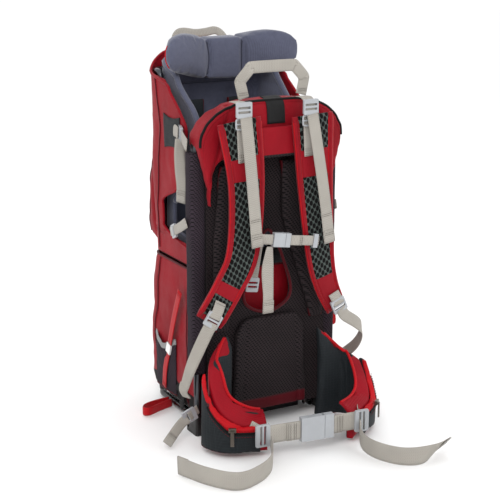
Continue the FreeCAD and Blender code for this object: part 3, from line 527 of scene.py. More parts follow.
def new_piece(name: str, points: Line, faces: Sequence[Sequence[int]],
              places: Sequence[tuple[float, float]] | None = None) -> Piece:
    """A smooth-shaded mesh object.

    Args:
        name: the piece's name.
        points: its vertices.
        faces: vertex numbers of each face.
        places: (across, along) of each vertex on a strap.

    Returns:
        The new object.
    """
    mesh = bpy.data.meshes.new(name)
    mesh.from_pydata([tuple(p) for p in points], [], faces)
    mesh.validate()
    if places:
        layer = mesh.uv_layers.new(name="strap")
        for loop in mesh.loops:
            layer.data[loop.index].uv = places[loop.vertex_index]
    piece = bpy.data.objects.new(name, mesh)
    bpy.context.scene.collection.objects.link(piece)
    for polygon in mesh.polygons:
        polygon.use_smooth = True
    return piece


def loft(name: str, rings: Sequence[Line], closed: bool = False, along: Sequence[float] | None = None,
         across: Sequence[float] | None = None) -> Piece:
    """A skin over rings of points, with its ends closed unless the rings come back round.

    Args:
        name: the piece's name.
        rings: rings of equally many points.
        closed: whether the last ring joins the first.
        along: each ring's place along a strap.
        across: each ring point's place across a strap.

    Returns:
        The new object.
    """
    count = len(rings[0])
    points = [p for ring in rings for p in ring]
    faces = []
    for k in range(len(rings) - (0 if closed else 1)):
        here, there = k * count, (k + 1) % len(rings) * count
        for j in range(count):
            nxt = (j + 1) % count
            faces.append((here + j, here + nxt, there + nxt, there + j))
    if not closed:
        faces.append(tuple(reversed(range(count))))
        faces.append(tuple(range(len(points) - count, len(points))))
    places = [(a, v) for v in along for a in across] if along and across else None
    return new_piece(name, points, faces, places)


def net(name: str, rows: Sequence[Line], turned: bool = False) -> Piece:
    """A sheet over rows of equally many points.

    Args:
        name: the piece's name.
        rows: its rows of points.
        turned: whether its faces look the other way.

    Returns:
        The new object.
    """
    count = len(rows[0])
    faces = []
    for r in range(len(rows) - 1):
        for c in range(count - 1):
            here, there = r * count + c, (r + 1) * count + c
            faces.append((here, there, there + 1, here + 1) if turned else (here, here + 1, there + 1, there))
    return new_piece(name, [p for row in rows for p in row], faces)


def rounded_back(half: float, back: float, radius: float, steps: int) -> list[tuple[float, float]]:
    """The corners of a back with rounded ends, seen from above, from its left side to its right."""
    turn = np.linspace(0.2, 1.37, steps)
    return [(-half, back - radius),
            *[(-half + radius - radius * math.cos(a), back - radius + radius * math.sin(a)) for a in turn],
            (-half + radius, back), (half - radius, back),
            *[(half - radius + radius * math.sin(a), back - radius + radius * math.cos(a)) for a in turn],
            (half, back - radius)]


def travelled(line: np.ndarray) -> np.ndarray:
    """The distance along a line at each of its corners."""
    return np.concatenate([[0], np.cumsum(np.linalg.norm(np.diff(line, axis=0), axis=1))])


def curve_through(points: Line, steps: int = 8, closed: bool = False) -> list[Vector]:
    """Points on a smooth curve through the given ones.

    Args:
        points: points that the curve passes through.
        steps: points to each run.
        closed: whether the curve comes back to its start.

    Returns:
        The curve's points.
    """
    total = len(points)
    found = []
    for k in range(total if closed else total - 1):
        if closed:
            a, b, c, d = (points[(k + n) % total] for n in (-1, 0, 1, 2))
        else:
            b, c = points[k], points[k + 1]
            a = points[k - 1] if k else b * 2 - c
            d = points[k + 2] if k + 2 < total else c * 2 - b
        for n in range(steps):
            t = n / steps
            found.append(0.5 * (2 * b + (c - a) * t + (2 * a - 5 * b + 4 * c - d) * t ** 2
                                + (3 * b - a - 3 * c + d) * t ** 3))
    if not closed:
        found.append(points[-1].copy())
    return found


def lengths(points: Line) -> list[float]:
    """The distance along a line at each of its points."""
    found = [0.0]
    for a, b in zip(points, points[1:]):
        found.append(found[-1] + (b - a).length)
    return found


def headings(points: Line, closed: bool = False) -> list[Vector]:
    """The direction of travel at each point of a line."""
    last = len(points) - 1
    found = []
    for k in range(len(points)):
        before = points[k - 1] if k or closed else points[k]
        after = points[(k + 1) % len(points)] if k < last or closed else points[k]
        found.append((after - before).normalized())
    return found


def sweep(name: str, spine: Line, outs: Line, section: Sequence[tuple[float, float]],
          closed: bool = False) -> Piece:
    """A section carried along a line.

    Args:
        name: the piece's name.
        spine: the line.
        outs: which way the section faces at each point.
        section: (across, out) corners of the section.
        closed: whether the line comes back to its start.

    Returns:
        The new object.
    """
    rings = []
    for point, way, out in zip(spine, headings(spine, closed), outs):
        out = (out - way * out.dot(way)).normalized()
        side = way.cross(out)
        rings.append([point + side * a + out * b for a, b in section])
    return loft(name, rings, closed, lengths(spine), [a for a, _ in section])


def strap_section(width: float, thickness: float, columns: int = 6) -> list[tuple[float, float]]:
    """The outline of a webbing strap, with softened edges."""
    half, lift = width / 2, thickness / 2
    line = [-1 + 2 * k / columns for k in range(columns + 1)]
    top = [(half * a, lift * (0.5 if abs(a) == 1 else 1)) for a in line]
    return [*top, *[(a, -b) for a, b in reversed(top)]]


def ribbon(name: str, points: Line, outs: Vector | Line, width: float, thickness: float = 0.0018,
           steps: int = 8, closed: bool = False) -> Piece:
    """A webbing strap through the points.

    Args:
        name: the piece's name.
        points: points down its middle.
        outs: the way its face looks, once or at each point.
        width: its width.
        thickness: its thickness.
        steps: how finely each run is divided.
        closed: whether it is a loop.

    Returns:
        The new object.
    """
    faces = [outs] * len(points) if isinstance(outs, Vector) else outs
    return sweep(name, curve_through(points, steps, closed), curve_through(faces, steps, closed),
                 strap_section(width, thickness), closed)


def cord_piece(name: str, points: Line, radius: float, closed: bool = False, steps: int = 6) -> Piece:
    """A round piping along a smooth line."""
    spine = curve_through(points, steps, closed)
    out = Vector((0.31, -0.83, 0.47))
    outs = []
    for way in headings(spine, closed):
        out = out - way * out.dot(way)
        out = out.normalized() if out.length > 1e-6 else way.orthogonal()
        outs.append(out)
    ring = [(radius * math.cos(a), radius * math.sin(a)) for a in np.linspace(0, 2 * math.pi, 9)[:-1]]
    return sweep(name, spine, outs, ring, closed)


def join(name: str, pieces: Sequence[Piece]) -> Piece:
    """Several meshes as one object, which keeps the first one's finish."""
    with bpy.context.temp_override(active_object=pieces[0], selected_editable_objects=list(pieces)):
        bpy.ops.object.join()
    pieces[0].name = name
    pieces[0].data.name = name
    return pieces[0]


def settle(piece: Piece) -> Piece:
    """Applies every modifier."""
    graph = bpy.context.evaluated_depsgraph_get()
    mesh = bpy.data.meshes.new_from_object(piece.evaluated_get(graph))
    piece.modifiers.clear()
    piece.data = mesh
    mesh.name = piece.name
    for polygon in mesh.polygons:
        polygon.use_smooth = True
    return piece


def refine(piece: Piece, kind: str, **settings: object) -> Piece:
    """Adds one modifier and applies it."""
    modifier = piece.modifiers.new(kind.title(), kind)
    for key, value in settings.items():
        setattr(modifier, key, value)
    return settle(piece)


def corners_of(piece: Piece) -> np.ndarray:
    """The vertices as an array."""
    found = np.empty(len(piece.data.vertices) * 3)
    piece.data.vertices.foreach_get("co", found)
    return found.reshape(-1, 3)


def move_to(piece: Piece, points: np.ndarray) -> None:
    """Puts the vertices at new places."""
    piece.data.vertices.foreach_set("co", np.asarray(points, np.float32).ravel())
    piece.data.update()


def outward(piece: Piece) -> np.ndarray:
    """The vertex normals as an array."""
    return np.array([v.normal for v in piece.data.vertices])


def paint(piece: Piece, name: str, values: np.ndarray) -> None:
    """Paints one number on each vertex."""
    layer = piece.data.attributes.get(name) or piece.data.attributes.new(name, "FLOAT", "POINT")
    layer.data.foreach_set("value", np.asarray(values, np.float32))


def distance_to(points: np.ndarray, line: Sequence[Sequence[float]], axes: tuple[int, ...]) -> np.ndarray:
    """How far each point is from a line, measured in some of the axes.

    Args:
        points: the points.
        line: the line's corners, in those axes.
        axes: the numbers of the axes.

    Returns:
        One distance for each point.
    """
    flat = points[:, axes]
    nearest = np.full(len(points), np.inf)
    corners = np.array(line, float)
    for a, b in zip(corners, corners[1:]):
        run = b - a
        share = np.clip((flat - a) @ run / max(run @ run, 1e-12), 0, 1)
        nearest = np.minimum(nearest, np.linalg.norm(flat - a - share[:, None] * run, axis=1))
    return nearest


class Lay:
    """The outside of a finished piece, for laying seams and trim on it."""

    back_off = 0.08
    reach = 0.25

    def __init__(self, piece: Piece) -> None:
        """Reads the piece's mesh."""
        self.tree = BVHTree.FromPolygons([v.co for v in piece.data.vertices],
                                         [p.vertices for p in piece.data.polygons])

    def down(self, points: Line, way: Vector, lift: float = 0.0006) -> tuple[list[Vector], list[Vector]]:
        """Drops points onto the piece.

        Args:
            points: where they start, outside the piece.
            way: which way they fall.
            lift: how far above the surface they stay.

        Returns:
            The places that hit, and the surface's normals there.
        """
        places, normals = [], []
        for point in points:
            hit, normal, _, _ = self.tree.ray_cast(point - way * self.back_off, way, self.reach)
            if hit is not None:
                places.append(hit + normal * lift)
                normals.append(normal)
        return places, normals

    def near(self, points: Line, lift: float = 0.0006) -> tuple[list[Vector], list[Vector]]:
        """The surface's closest places to some points, and its normals there."""
        found = [self.tree.find_nearest(point) for point in points]
        return [f[0] + f[1] * lift for f in found], [f[1] for f in found]


class Sewing:
    """Collects rows of stitches and bar tacks, and makes them one piece."""

    def __init__(self, finish: Finish = Cloths.thread) -> None:
        """Starts with no stitches."""
        self.finish = finish
        self.points: list[Vector] = []
        self.faces: list[tuple[int, ...]] = []

    def stitch(self, middle: Vector, way: Vector, out: Vector, length: float, half: float = 0.0004) -> None:
        """One stitch lying on the cloth."""
        side = way.cross(out).normalized() * half
        ahead, lift = way * (length / 2), out * (half * 1.3)
        base = len(self.points)
        for end in (-1, 1):
            for corner in (-side, lift, side, -lift):
                self.points.append(middle + ahead * end + corner)
        for k in range(4):
            n = (k + 1) % 4
            self.faces.append((base + k, base + n, base + 4 + n, base + 4 + k))

    def row(self, points: Line, outs: Line, pitch: float = 0.0055) -> None:
        """A row of stitches along a line that lies on the cloth."""
        if len(points) < 2:
            return
        reach = lengths(points)
        count = max(2, int(reach[-1] / pitch))
        for k in range(count):
            at = (k + 0.5) / count * reach[-1]
            n = max(j for j in range(len(reach) - 1) if reach[j] <= at)
            run = points[n + 1] - points[n]
            if run.length > 1e-9:
                middle = points[n] + run * ((at - reach[n]) / run.length)
                self.stitch(middle, run.normalized(), outs[n], pitch * 0.62)

    def tack(self, middle: Vector, way: Vector, out: Vector, width: float, rows: int = 2) -> None:
        """Rows of stitches across a strap where it is sewn down."""
        side = way.cross(out).normalized()
        for r in range(rows):
            line = [middle + way * (0.004 * r) + side * (width * s) for s in (-0.45, 0.45)]
            self.row(line, [out, out], 0.0032)

    def make(self, name: str, body: str = "pack", slot: str = "red_fabric") -> Piece:
        """All the stitches as one piece on a body."""
        piece = new_piece(name, self.points, self.faces)
        dress(piece, self.finish)
        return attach(piece, body)


# ---------------------------------------------------------------- padding


@dataclass(frozen=True)
class Stuffing:
    """How a cushion is filled: cloth under pressure, held back to a cap."""

    voxel: float = 0.005
    shrink: float = 0.002
    round: int = 6
    pressure: float = 4.0
    cap: float = 0.006
    frames: int = 20


CLOTH = {"quality": 4, "mass": 0.25, "tension_stiffness": 12, "compression_stiffness": 12,
         "bending_stiffness": 0.6, "use_pressure": True}


def seam_pull(points: np.ndarray, normals: np.ndarray, distance: np.ndarray, depth: float,
              width: float) -> np.ndarray:
    """Points drawn in along a seam."""
    return points - normals * (depth * np.exp(-(distance / width) ** 2))[:, None]


def cushion(name: str, nodes: Sequence[str], stuffing: Stuffing = Stuffing(),
            seams: Callable[[np.ndarray], np.ndarray] | None = None, seam_depth: float = 0.003,
            seam_width: float = 0.0045, hold: Callable[[np.ndarray], np.ndarray] | None = None) -> Piece:
    """A padded piece grown from the room that CAD solids hold.

    Args:
        name: the piece's name.
        nodes: CAD nodes whose room it takes.
        stuffing: how it is filled.
        seams: gives each point's distance from the sewn seams, which are held down while the rest swells.
        seam_depth: how deep the seams draw in.
        seam_width: how wide the drawn-in part is.
        hold: true where the cloth is held flat, such as where it rests on something.

    Returns:
        The new object.
    """
    points, faces = [], []
    for node in nodes:
        mesh = frame["nodes"][node].data
        base = len(points)
        points += [v.co.copy() for v in mesh.vertices]
        faces += [[base + i for i in p.vertices] for p in mesh.polygons]
    piece = new_piece(name, points, faces)
    refine(piece, "WELD", merge_threshold=0.00005)
    refine(piece, "REMESH", mode="VOXEL", voxel_size=stuffing.voxel, use_smooth_shade=True)
    refine(piece, "SMOOTH", factor=0.6, iterations=stuffing.round)
    move_to(piece, corners_of(piece) - outward(piece) * stuffing.shrink)
    rest = corners_of(piece)
    held = np.zeros(len(rest), bool)
    if seams:
        held |= seams(rest) < stuffing.voxel * 0.75
    if hold:
        held |= hold(rest)
    swell(piece, stuffing, held)
    moved = corners_of(piece) - rest
    far = np.linalg.norm(moved, axis=1)
    share = np.minimum(1, stuffing.cap / np.maximum(far, 1e-9))
    move_to(piece, rest + moved * share[:, None])
    refine(piece, "SUBSURF", levels=1)
    if seams:
        now = corners_of(piece)
        move_to(piece, seam_pull(now, outward(piece), seams(now), seam_depth, seam_width))
    return piece


def swell(piece: Piece, stuffing: Stuffing, held: np.ndarray) -> None:
    """Runs the cloth simulation on one cushion and applies it.

    Args:
        piece: the cushion.
        stuffing: its pressure and length of run.
        held: which vertices stay where they are.
    """
    group = piece.vertex_groups.new(name="held")
    group.add([int(i) for i in np.nonzero(held)[0]], 1.0, "REPLACE")
    cloth = piece.modifiers.new("Cloth", "CLOTH")
    for key, value in CLOTH.items():
        setattr(cloth.settings, key, value)
    cloth.settings.uniform_pressure_force = stuffing.pressure
    cloth.settings.effector_weights.gravity = 0
    cloth.settings.vertex_group_mass = "held"
    cloth.collision_settings.use_collision = False
    cloth.point_cache.frame_start, cloth.point_cache.frame_end = 1, stuffing.frames
    scene = bpy.context.scene
    for step in range(1, stuffing.frames + 1):
        scene.frame_set(step)
    settle(piece)
    piece.vertex_groups.clear()
    scene.frame_set(1)


def finish_soft(piece: Piece, finish: Finish, body: str, slot: str, *nodes: str,
                fill: float | None = None) -> Piece:
    """Dresses a soft piece, puts it on its body and hides the CAD nodes that it stands for.

    Args:
        piece: the piece.
        finish: its finish.
        body: the CAD body that it moves with.
        slot: the record's material slot; not used.
        nodes: CAD nodes that it replaces.
        fill: how full its padding is, if it has any; not used.

    Returns:
        The same piece.
    """
    dress(piece, finish)
    if nodes:
        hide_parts(*nodes)
    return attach(piece, body)


def trim(piece: Piece, finish: Finish, slot: str = "red_fabric") -> Piece:
    """Dresses a piece of trim that is sewn to the pack."""
    return finish_soft(piece, finish, "pack", slot)


class Hold(Enum):
    """How a loose strap end is held."""

    HUNG = "hung"
    LAID = "laid"


@dataclass
class Strapping:
    """Makes webbing on one body: straps, their sewn ends and their stitches."""

    body: str
    node: str
    slot: str = "grey_webbing"
    finish: Finish = Cloths.webbing
    sewing: Sewing = field(default_factory=Sewing)

    def strap(self, name: str, points: Line, outs: Vector | Line, width: float, steps: int = 8,
              closed: bool = False, thickness: float = 0.0018) -> Piece:
        """A strap that stands for this node, riding on this body."""
        piece = ribbon(name, points, outs, width, thickness, steps, closed)
        return finish_soft(piece, self.finish, self.body, self.slot, self.node)

    def tail(self, name: str, points: Line, outs: Vector | Line, width: float, hold: Hold,
             rests_on: Sequence[str]) -> Piece:
        """A loose end of webbing, with its end folded over and sewn.

        Args:
            name: the piece's name.
            points: points down its middle.
            outs: the way its face looks.
            width: its width.
            hold: how it is held; not used.
            rests_on: what it hangs from or lies on; not used.

        Returns:
            The strap.
        """
        piece = self.strap(name, points, outs, width)
        way = (points[-1] - points[-2]).normalized()
        out = outs if isinstance(outs, Vector) else outs[-1]
        out = (out - way * out.dot(way)).normalized()
        end = points[-1] + out * 0.002
        fold = self.strap(name + "_fold", [end - way * 0.026, end - way * 0.0005], out, width * 0.99, 3)
        self.sewing.tack(end - way * 0.022 + out * 0.0012, way, out, width)
        lengths(curve_through(points, 8))[-1]
        return piece

    def tacks(self, points: Line, way: Vector, out: Vector, width: float) -> None:
        """Bar tacks across a strap at several points."""
        for point in points:
            self.sewing.tack(point + out * 0.0013, way, out, width)

    def done(self, name: str) -> None:
        """Makes the stitches as one piece."""
        self.sewing.make(name, self.body, self.slot)


def interpolate(value: float | np.ndarray, table: Sequence[tuple[float, float]]) -> float | np.ndarray:
    """The second number of a table at one or more values of the first."""
    return np.interp(value, [row[0] for row in table], [row[1] for row in table])


# ---------------------------------------------------------------- frame and stand


@dataclass
class Metalwork:
    """The frame, its brackets and the folding stand, which keep their CAD shapes."""

    finishes: tuple[tuple[Finish, str], ...] = (
        (Cloths.alloy, "frame_tube frame_crossbars seat_frame_tube"),
        (Cloths.dark, "frame_brackets base_skid child_harness_buckle"),
        (Cloths.steel, "stand_pivot_pins"),
        (Cloths.enamel, "kickstand_tube"),
        (Cloths.rubber, "kickstand_grip"),
        (Cloths.white, "stand_strap_hooks"),
        (Cloths.pale, "pack_locks harness_locks sternum_anchors sternum_buckle_socket sternum_buckle_plug"),
        (Cloths.pale, "sternum_latch_upper sternum_latch_lower waist_buckle_socket waist_buckle_plug"),
        (Cloths.pale, "waist_latch_upper waist_latch_lower"),
        (Cloths.zipper, "hip_zip_slider_left hip_zip_slider_right hip_zip_pull_left hip_zip_pull_right"),
        (Cloths.mesh, "back_panel"))

    def build(self) -> None:
        """Dresses the nodes."""
        for finish, nodes in self.finishes:
            for node in nodes.split():
                dress(frame["nodes"][node], finish)


@dataclass
class StandTrim:
    """The red pull loop on the stand, and the red straps down the pack's sides."""

    loop_width: float = 0.018
    band_width: float = 0.018
    loop_level: float = 11.0

    def build(self) -> None:
        """Makes the loop and the side straps."""
        plan = [(-137, 117), (-170, 113), (-196, 106), (-210, 93), (-209, 83), (-198, 80), (-170, 92),
                (-137, 103)]
        points = [mm(x, y, self.loop_level) for x, y in plan]
        outs = [way.cross(UP).normalized() for way in headings(points)]
        pull = Strapping("kickstand", "kickstand_pull_loop", "red_webbing", Cloths.red_webbing)
        pull.strap("stand_pull_loop", points, outs, self.loop_width)
        side = Strapping("pack", "stand_straps", "red_webbing", Cloths.red_webbing, Sewing(Cloths.red_thread))
        for name, sign in SIDES:
            out = Vector((sign, 0, 0))
            for part, points in (("upper", ((150, 28, 284), (151, 58, 214), (150, 82, 155))),
                                 ("lower", ((150, 90, 132), (151, 104, 90), (150, 112, 48)))):
                side.strap(f"side_band_{name}_{part}", route(*points, side=sign), out, self.band_width)
            tacks = route((150, 31, 278), (150, 108, 58), side=sign)
            side.tacks(tacks, Vector((0, 0.38, -0.92)), out, self.band_width)
        side.done("side_band_stitches")


# ---------------------------------------------------------------- bags


@dataclass
class LowerBag:
    """The storage bag: a sewn shell that sags a little, its lid, pockets, piping and straps."""

    half: float = 0.138
    front: float = -0.040
    corner: float = 0.040
    front_corner: float = 0.012
    floor: float = 0.0225
    top: float = 0.3345
    wall: float = 0.0025
    columns: int = 150
    rows: int = 64
    backs: Table = ((0.022, 0.205), (0.058, 0.219), (0.130, 0.212), (0.220, 0.201), (0.335, 0.192))

    def outline(self, level: float, inset: float) -> list[Vector]:
        """The bag's outline at one height, evenly divided."""
        w, back, r = self.half - inset, interpolate(level, self.backs) - inset, self.corner
        front = self.front + inset
        start = (-w, front + self.front_corner)
        line = np.array([start, *rounded_back(w, back, r, 6), (w, front + self.front_corner),
                         (w - self.front_corner, front), (-w + self.front_corner, front), start])
        reach = travelled(line)
        at = np.linspace(0, reach[-1], self.columns + 1)[:-1]
        return [Vector((np.interp(a, reach, line[:, 0]), np.interp(a, reach, line[:, 1]), level)) for a in at]

    def slack(self, point: Vector, out: Vector, share: float) -> float:
        """How far the cloth stands out at a point: between its seams it bellies, with creases."""
        if out.y < -0.5:
            return 0.0
        belly = 0.0045 * math.sin(math.pi * share) ** 0.7
        crease = noise.fractal(Vector((point.x * 9, point.y * 9, point.z * 5)), 1.0, 2.2, 4) * 0.006
        sag = noise.noise(Vector((point.x * 16, point.y * 16, point.z * 30 + 4))) * 0.0022
        return belly + (crease + sag) * math.sin(math.pi * min(1, max(0, share * 1.02))) ** 0.4

    def rings(self, inset: float) -> list[list[Vector]]:
        """The bag's wall as rings from its floor to its rim."""
        found = []
        for k in range(self.rows):
            share = k / (self.rows - 1)
            level = self.floor + (self.top - self.floor) * share
            heel = 0.016 * max(0.0, 1 - share / 0.055) ** 2
            ring = self.outline(level, inset + heel)
            ways = headings(ring, True)
            found.append([p + Vector((-w.y, w.x, 0)) * self.slack(p, Vector((-w.y, w.x, 0)), share)
                          for p, w in zip(ring, ways)])
        return found

    def build(self) -> None:
        """Makes the bag and everything sewn to it."""
        outer, inner = self.rings(0.0), self.rings(self.wall)
        inner[0] = [p + UP * self.wall for p in inner[0]]
        bag = loft("storage_bag_shell", [*outer, *reversed(inner)])
        bag.data.flip_normals()
        points = corners_of(bag)
        paint(bag, "rim", points[:, 2] - 0.030 + np.abs(points[:, 1] - 0.08) * 0.15)
        finish_soft(bag, banded("storage_bag_cloth", Cloths.red, Cloths.black, 0.048), "pack", "red_fabric",
                    "storage_bag")
        self.piping(Lay(bag), outer)
        self.lid()
        for name, sign in SIDES:
            self.pocket(name, sign)
        self.compression_straps()

    def piping(self, lay: Lay, rings: Sequence[Line]) -> None:
        """Piping and stitched seams down the bag's corners and round its rim."""
        sewing = Sewing(Cloths.red_thread)
        cords = [cord_piece("bag_rim_piping", rings[-1][::5], 0.0022, True, 3)]
        for side in (LEFT, RIGHT):
            for back, spread in ((0.012, 0.0), (0.150, 0.012)):
                spots = [Vector((side * (self.half + 0.03), back + spread * math.sin(z * 12), z))
                         for z in np.linspace(0.034, 0.33, 26)]
                places = lay.down(spots, Vector((-side, 0, 0)), 0.0004)[0]
                cords.append(cord_piece(f"bag_seam_{side}", places, 0.0013, steps=2))
                for shift in (0.0045, -0.0045):
                    row, faces = lay.down([p + Vector((0, shift, 0)) for p in places], Vector((-side, 0, 0)),
                                          0.0003)
                    sewing.row(row, faces)
        trim(join("storage_bag_piping", cords), Cloths.maroon)
        sewing.make("storage_bag_stitches")
        self.rear_zip(lay)

    def rear_zip(self, lay: Lay) -> None:
        """The zip across the back of the bag, under a flap of its own cloth."""
        spots = [Vector((0.098 * math.sin(a), 0.26, 0.27 - 0.060 * abs(math.sin(a)) ** 3))
                 for a in np.linspace(-1.45, 1.45, 30)]
        places, outs = lay.down(spots, FRONT, 0.0012)
        teeth = sweep("storage_zip_teeth", places, outs, strap_section(0.0065, 0.0018, 2))
        trim(teeth, Cloths.black_webbing, "black_plastic")
        flap, faces = lay.down([p + Vector((0, 0, 0.0075)) for p in spots], FRONT, 0.0028)
        cover = sweep("storage_zip_flap", flap, faces, strap_section(0.011, 0.0012, 3))
        trim(cover, Cloths.bright)

    def lid(self) -> None:
        """The padded floor between the bag and the cockpit."""
        piece = cushion("storage_lid_pad", ["storage_lid"], Stuffing(voxel=0.0055, shrink=0.0004, round=2,
                                                                     pressure=1.5, cap=0.001))
        finish_soft(piece, Cloths.charcoal, "pack", "charcoal_fabric", "storage_lid", fill=0.4)

    def pocket(self, name: str, sign: int) -> None:
        """A stretch mesh pocket with an elastic top that gapes a little.

        Args:
            name: left or right.
            sign: which side it is on.
        """
        low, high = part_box("side_pockets")
        rows = []
        for z in np.linspace(0, 1, 26):
            row = []
            for y in np.linspace(0, 1, 26):
                level = low.z + (high.z - low.z) * z
                level -= 0.020 * z * math.sin(math.pi * y) ** 1.5
                gape = 0.0015 + 0.0085 * math.sin(math.pi * y) ** 0.8 * (0.35 + 0.65 * z)
                gape += noise.noise(Vector((y * 7, z * 7, sign * 3))) * 0.0012
                row.append(Vector((sign * (self.half + 0.004 + gape), low.y + (high.y - low.y) * y, level)))
            rows.append(row)
        piece = net(f"mesh_pocket_{name}", rows)
        refine(piece, "SOLIDIFY", thickness=0.0014, offset=0.0)
        finish_soft(piece, Cloths.side_mesh, "pack", "mesh_fabric", "side_pockets")
        band = sweep(f"pocket_elastic_{name}", rows[-1], [Vector((sign, 0, 0))] * len(rows[0]),
                     strap_section(0.012, 0.0022))
        trim(band, Cloths.elastic, "grey_webbing")
        base = cord_piece(f"pocket_hem_{name}", rows[0][::4], 0.0018)
        trim(base, Cloths.maroon)

    def compression_straps(self) -> None:
        """Black webbing loops and bands sewn at the foot of the bag."""
        black = Strapping("pack", "storage_bag", "black_plastic", Cloths.black_webbing)
        for name, sign in SIDES:
            out = Vector((sign, 0, 0))
            black.strap(f"foot_loop_{name}", route((141, 30, 96), (148, 22, 60), (146, 34, 30),
                                                   (139, 58, 24), side=sign), out, 0.016)
            black.strap(f"foot_band_{name}", route((142, 30, 90), (143.5, 60, 62), (143, 150, 34),
                                                   side=sign), out, 0.012)


@dataclass
class Cockpit:
    """The child's cockpit: the outer shell, its padded liner, the rear pocket and the parts inside."""

    half: float = 0.138
    corner: float = 0.040
    backs: Table = ((0.342, 0.192), (0.800, 0.207))
    rim: Table = ((0.342, 0.002), (0.384, 0.002), (0.392, 0.118), (0.468, 0.120), (0.484, 0.066),
                  (0.528, 0.026), (0.600, 0.012), (0.624, 0.004), (0.652, 0.028), (0.684, 0.072),
                  (0.726, 0.122), (0.742, 0.140), (0.800, 0.180))
    dome: Table = ((0.342, 0.14), (0.712, 0.14), (0.738, 0.122), (0.754, 0.100), (0.768, 0.060),
                   (0.774, 0.012))
    rows: int = 92
    columns: int = 120

    def course(self, level: float, inset: float, ahead: float) -> list[Vector]:
        """One level of the shell, from its left rim round the back to its right rim.

        Args:
            level: the height.
            inset: how far inside the outer shell.
            ahead: how far the rim is moved forward.

        Returns:
            Evenly spaced points.
        """
        w, back = self.half - inset, interpolate(level, self.backs) - inset
        r = max(0.012, self.corner - inset * 0.6)
        rim = interpolate(level, self.rim) + ahead
        dome = max(0.010, interpolate(level + inset * 0.4, self.dome))
        line = np.array([(-w, -0.2), *rounded_back(w, back, r, 7), (w, -0.2)])
        reach = travelled(line)
        at = np.linspace(0, reach[-1], 900)
        fine = np.stack([np.interp(at, reach, line[:, 0]), np.interp(at, reach, line[:, 1])], 1)
        fine = fine[(fine[:, 1] >= rim) & (np.abs(fine[:, 0]) <= dome)]
        pick = np.linspace(0, len(fine) - 1, self.columns)
        return [Vector((np.interp(k, range(len(fine)), fine[:, 0]),
                        np.interp(k, range(len(fine)), fine[:, 1]), level)) for k in pick]

    def skin(self, name: str, levels: Sequence[float], inset: float, ahead: float,
             slack: Callable[[Vector], float]) -> tuple[Piece, list[list[Vector]]]:
        """A sheet over the courses.

        Args:
            name: the piece's name.
            levels: the heights of its courses.
            inset: how far inside the outer shell.
            ahead: how far the rim is moved forward.
            slack: how far the cloth stands out at a point.

        Returns:
            The sheet and its courses.
        """
        courses = []
        for level in levels:
            course = self.course(level, inset, ahead)
            outs = [Vector((-w.y, w.x, 0)) for w in headings(course)]
            courses.append([p + out * slack(p) for p, out in zip(course, outs)])
        return net(name, courses, True), courses

    def outer_slack(self, point: Vector) -> float:
        """Belly and creases of the outer shell."""
        share = (point.z - 0.342) / 0.432
        crease = noise.fractal(Vector((point.x * 8, point.y * 8, point.z * 5 + 9)), 1.0, 2.2, 4) * 0.0055
        return 0.003 * math.sin(math.pi * share) + crease * min(1, share * 8) * min(1, (1 - share) * 8)

    def liner_slack(self, point: Vector) -> float:
        """Padding of the liner, drawn in at its sewn channels."""
        channels = [abs(point.z - 0.690), abs(point.z - 0.560) * 1.2]
        if point.y > 0.13:
            channels += [abs(abs(point.x) - 0.048)]
        near = min(channels)
        puff = 0.004 * (1 - math.exp(-(near / 0.012) ** 2)) - 0.002
        return -puff - noise.noise(point * 14) * 0.0025

    def build(self) -> None:
        """Makes the cockpit from the outside in."""
        levels = np.linspace(0.342, 0.7735, self.rows)
        shell, courses = self.skin("cockpit_shell", levels, 0.0012, 0.0, self.outer_slack)
        refine(shell, "SOLIDIFY", thickness=0.0024, offset=-1.0)
        points = corners_of(shell)
        paint(shell, "rim", np.where(points[:, 1] > 0.12, 1.0, points[:, 2] - 0.38))
        finish_soft(shell, Cloths.red, "pack", "red_fabric", "rear_shell")
        edge = [c[0] for c in courses[4:]] + courses[-1][10::12] + [c[-1] for c in reversed(courses[4:])]
        binding = cord_piece("cockpit_rim_binding", edge[::3], 0.0032, steps=3)
        trim(binding, Cloths.red_flat)
        self.liner()
        self.shell_trim(Lay(shell))
        self.inside()
        self.rear_pocket()

    def liner(self) -> None:
        """The padded liner, with quilted channels and a rolled rim."""
        levels = np.linspace(0.362, 0.765, 80)
        liner, courses = self.skin("cockpit_liner_pad", levels, 0.0225, -0.004, self.liner_slack)
        refine(liner, "SOLIDIFY", thickness=0.008, offset=0.0)
        refine(liner, "SUBSURF", levels=1)
        finish_soft(liner, Cloths.slate, "pack", "slate_fabric", "cockpit_liner", fill=0.5)
        for name, column in (("left", 0), ("right", -1)):
            edge = [c[column] for c in courses[18::4]]
            roll = cord_piece(f"liner_roll_{name}", edge, 0.0062, steps=4)
            trim(roll, Cloths.slate, "slate_fabric")
        lay = Lay(liner)
        sewing = Sewing()
        cords = []
        for level in (0.690, 0.560):
            spots = [Vector((x, 0.05, level)) for x in np.linspace(-0.10, 0.10, 30)]
            places, outs = lay.down(spots, BACK, 0.0002)
            cords.append(cord_piece(f"liner_channel_{level:.2f}", places, 0.0009, steps=2))
            sewing.row([p + UP * 0.003 for p in places], outs)
        # painted shade: thin cords of the darker slate copy lie in the quilted channels
        trim(join("liner_groove_shades", cords), Cloths.slate_shaded, "slate_fabric")
        sewing.make("liner_stitches", slot="slate_fabric")

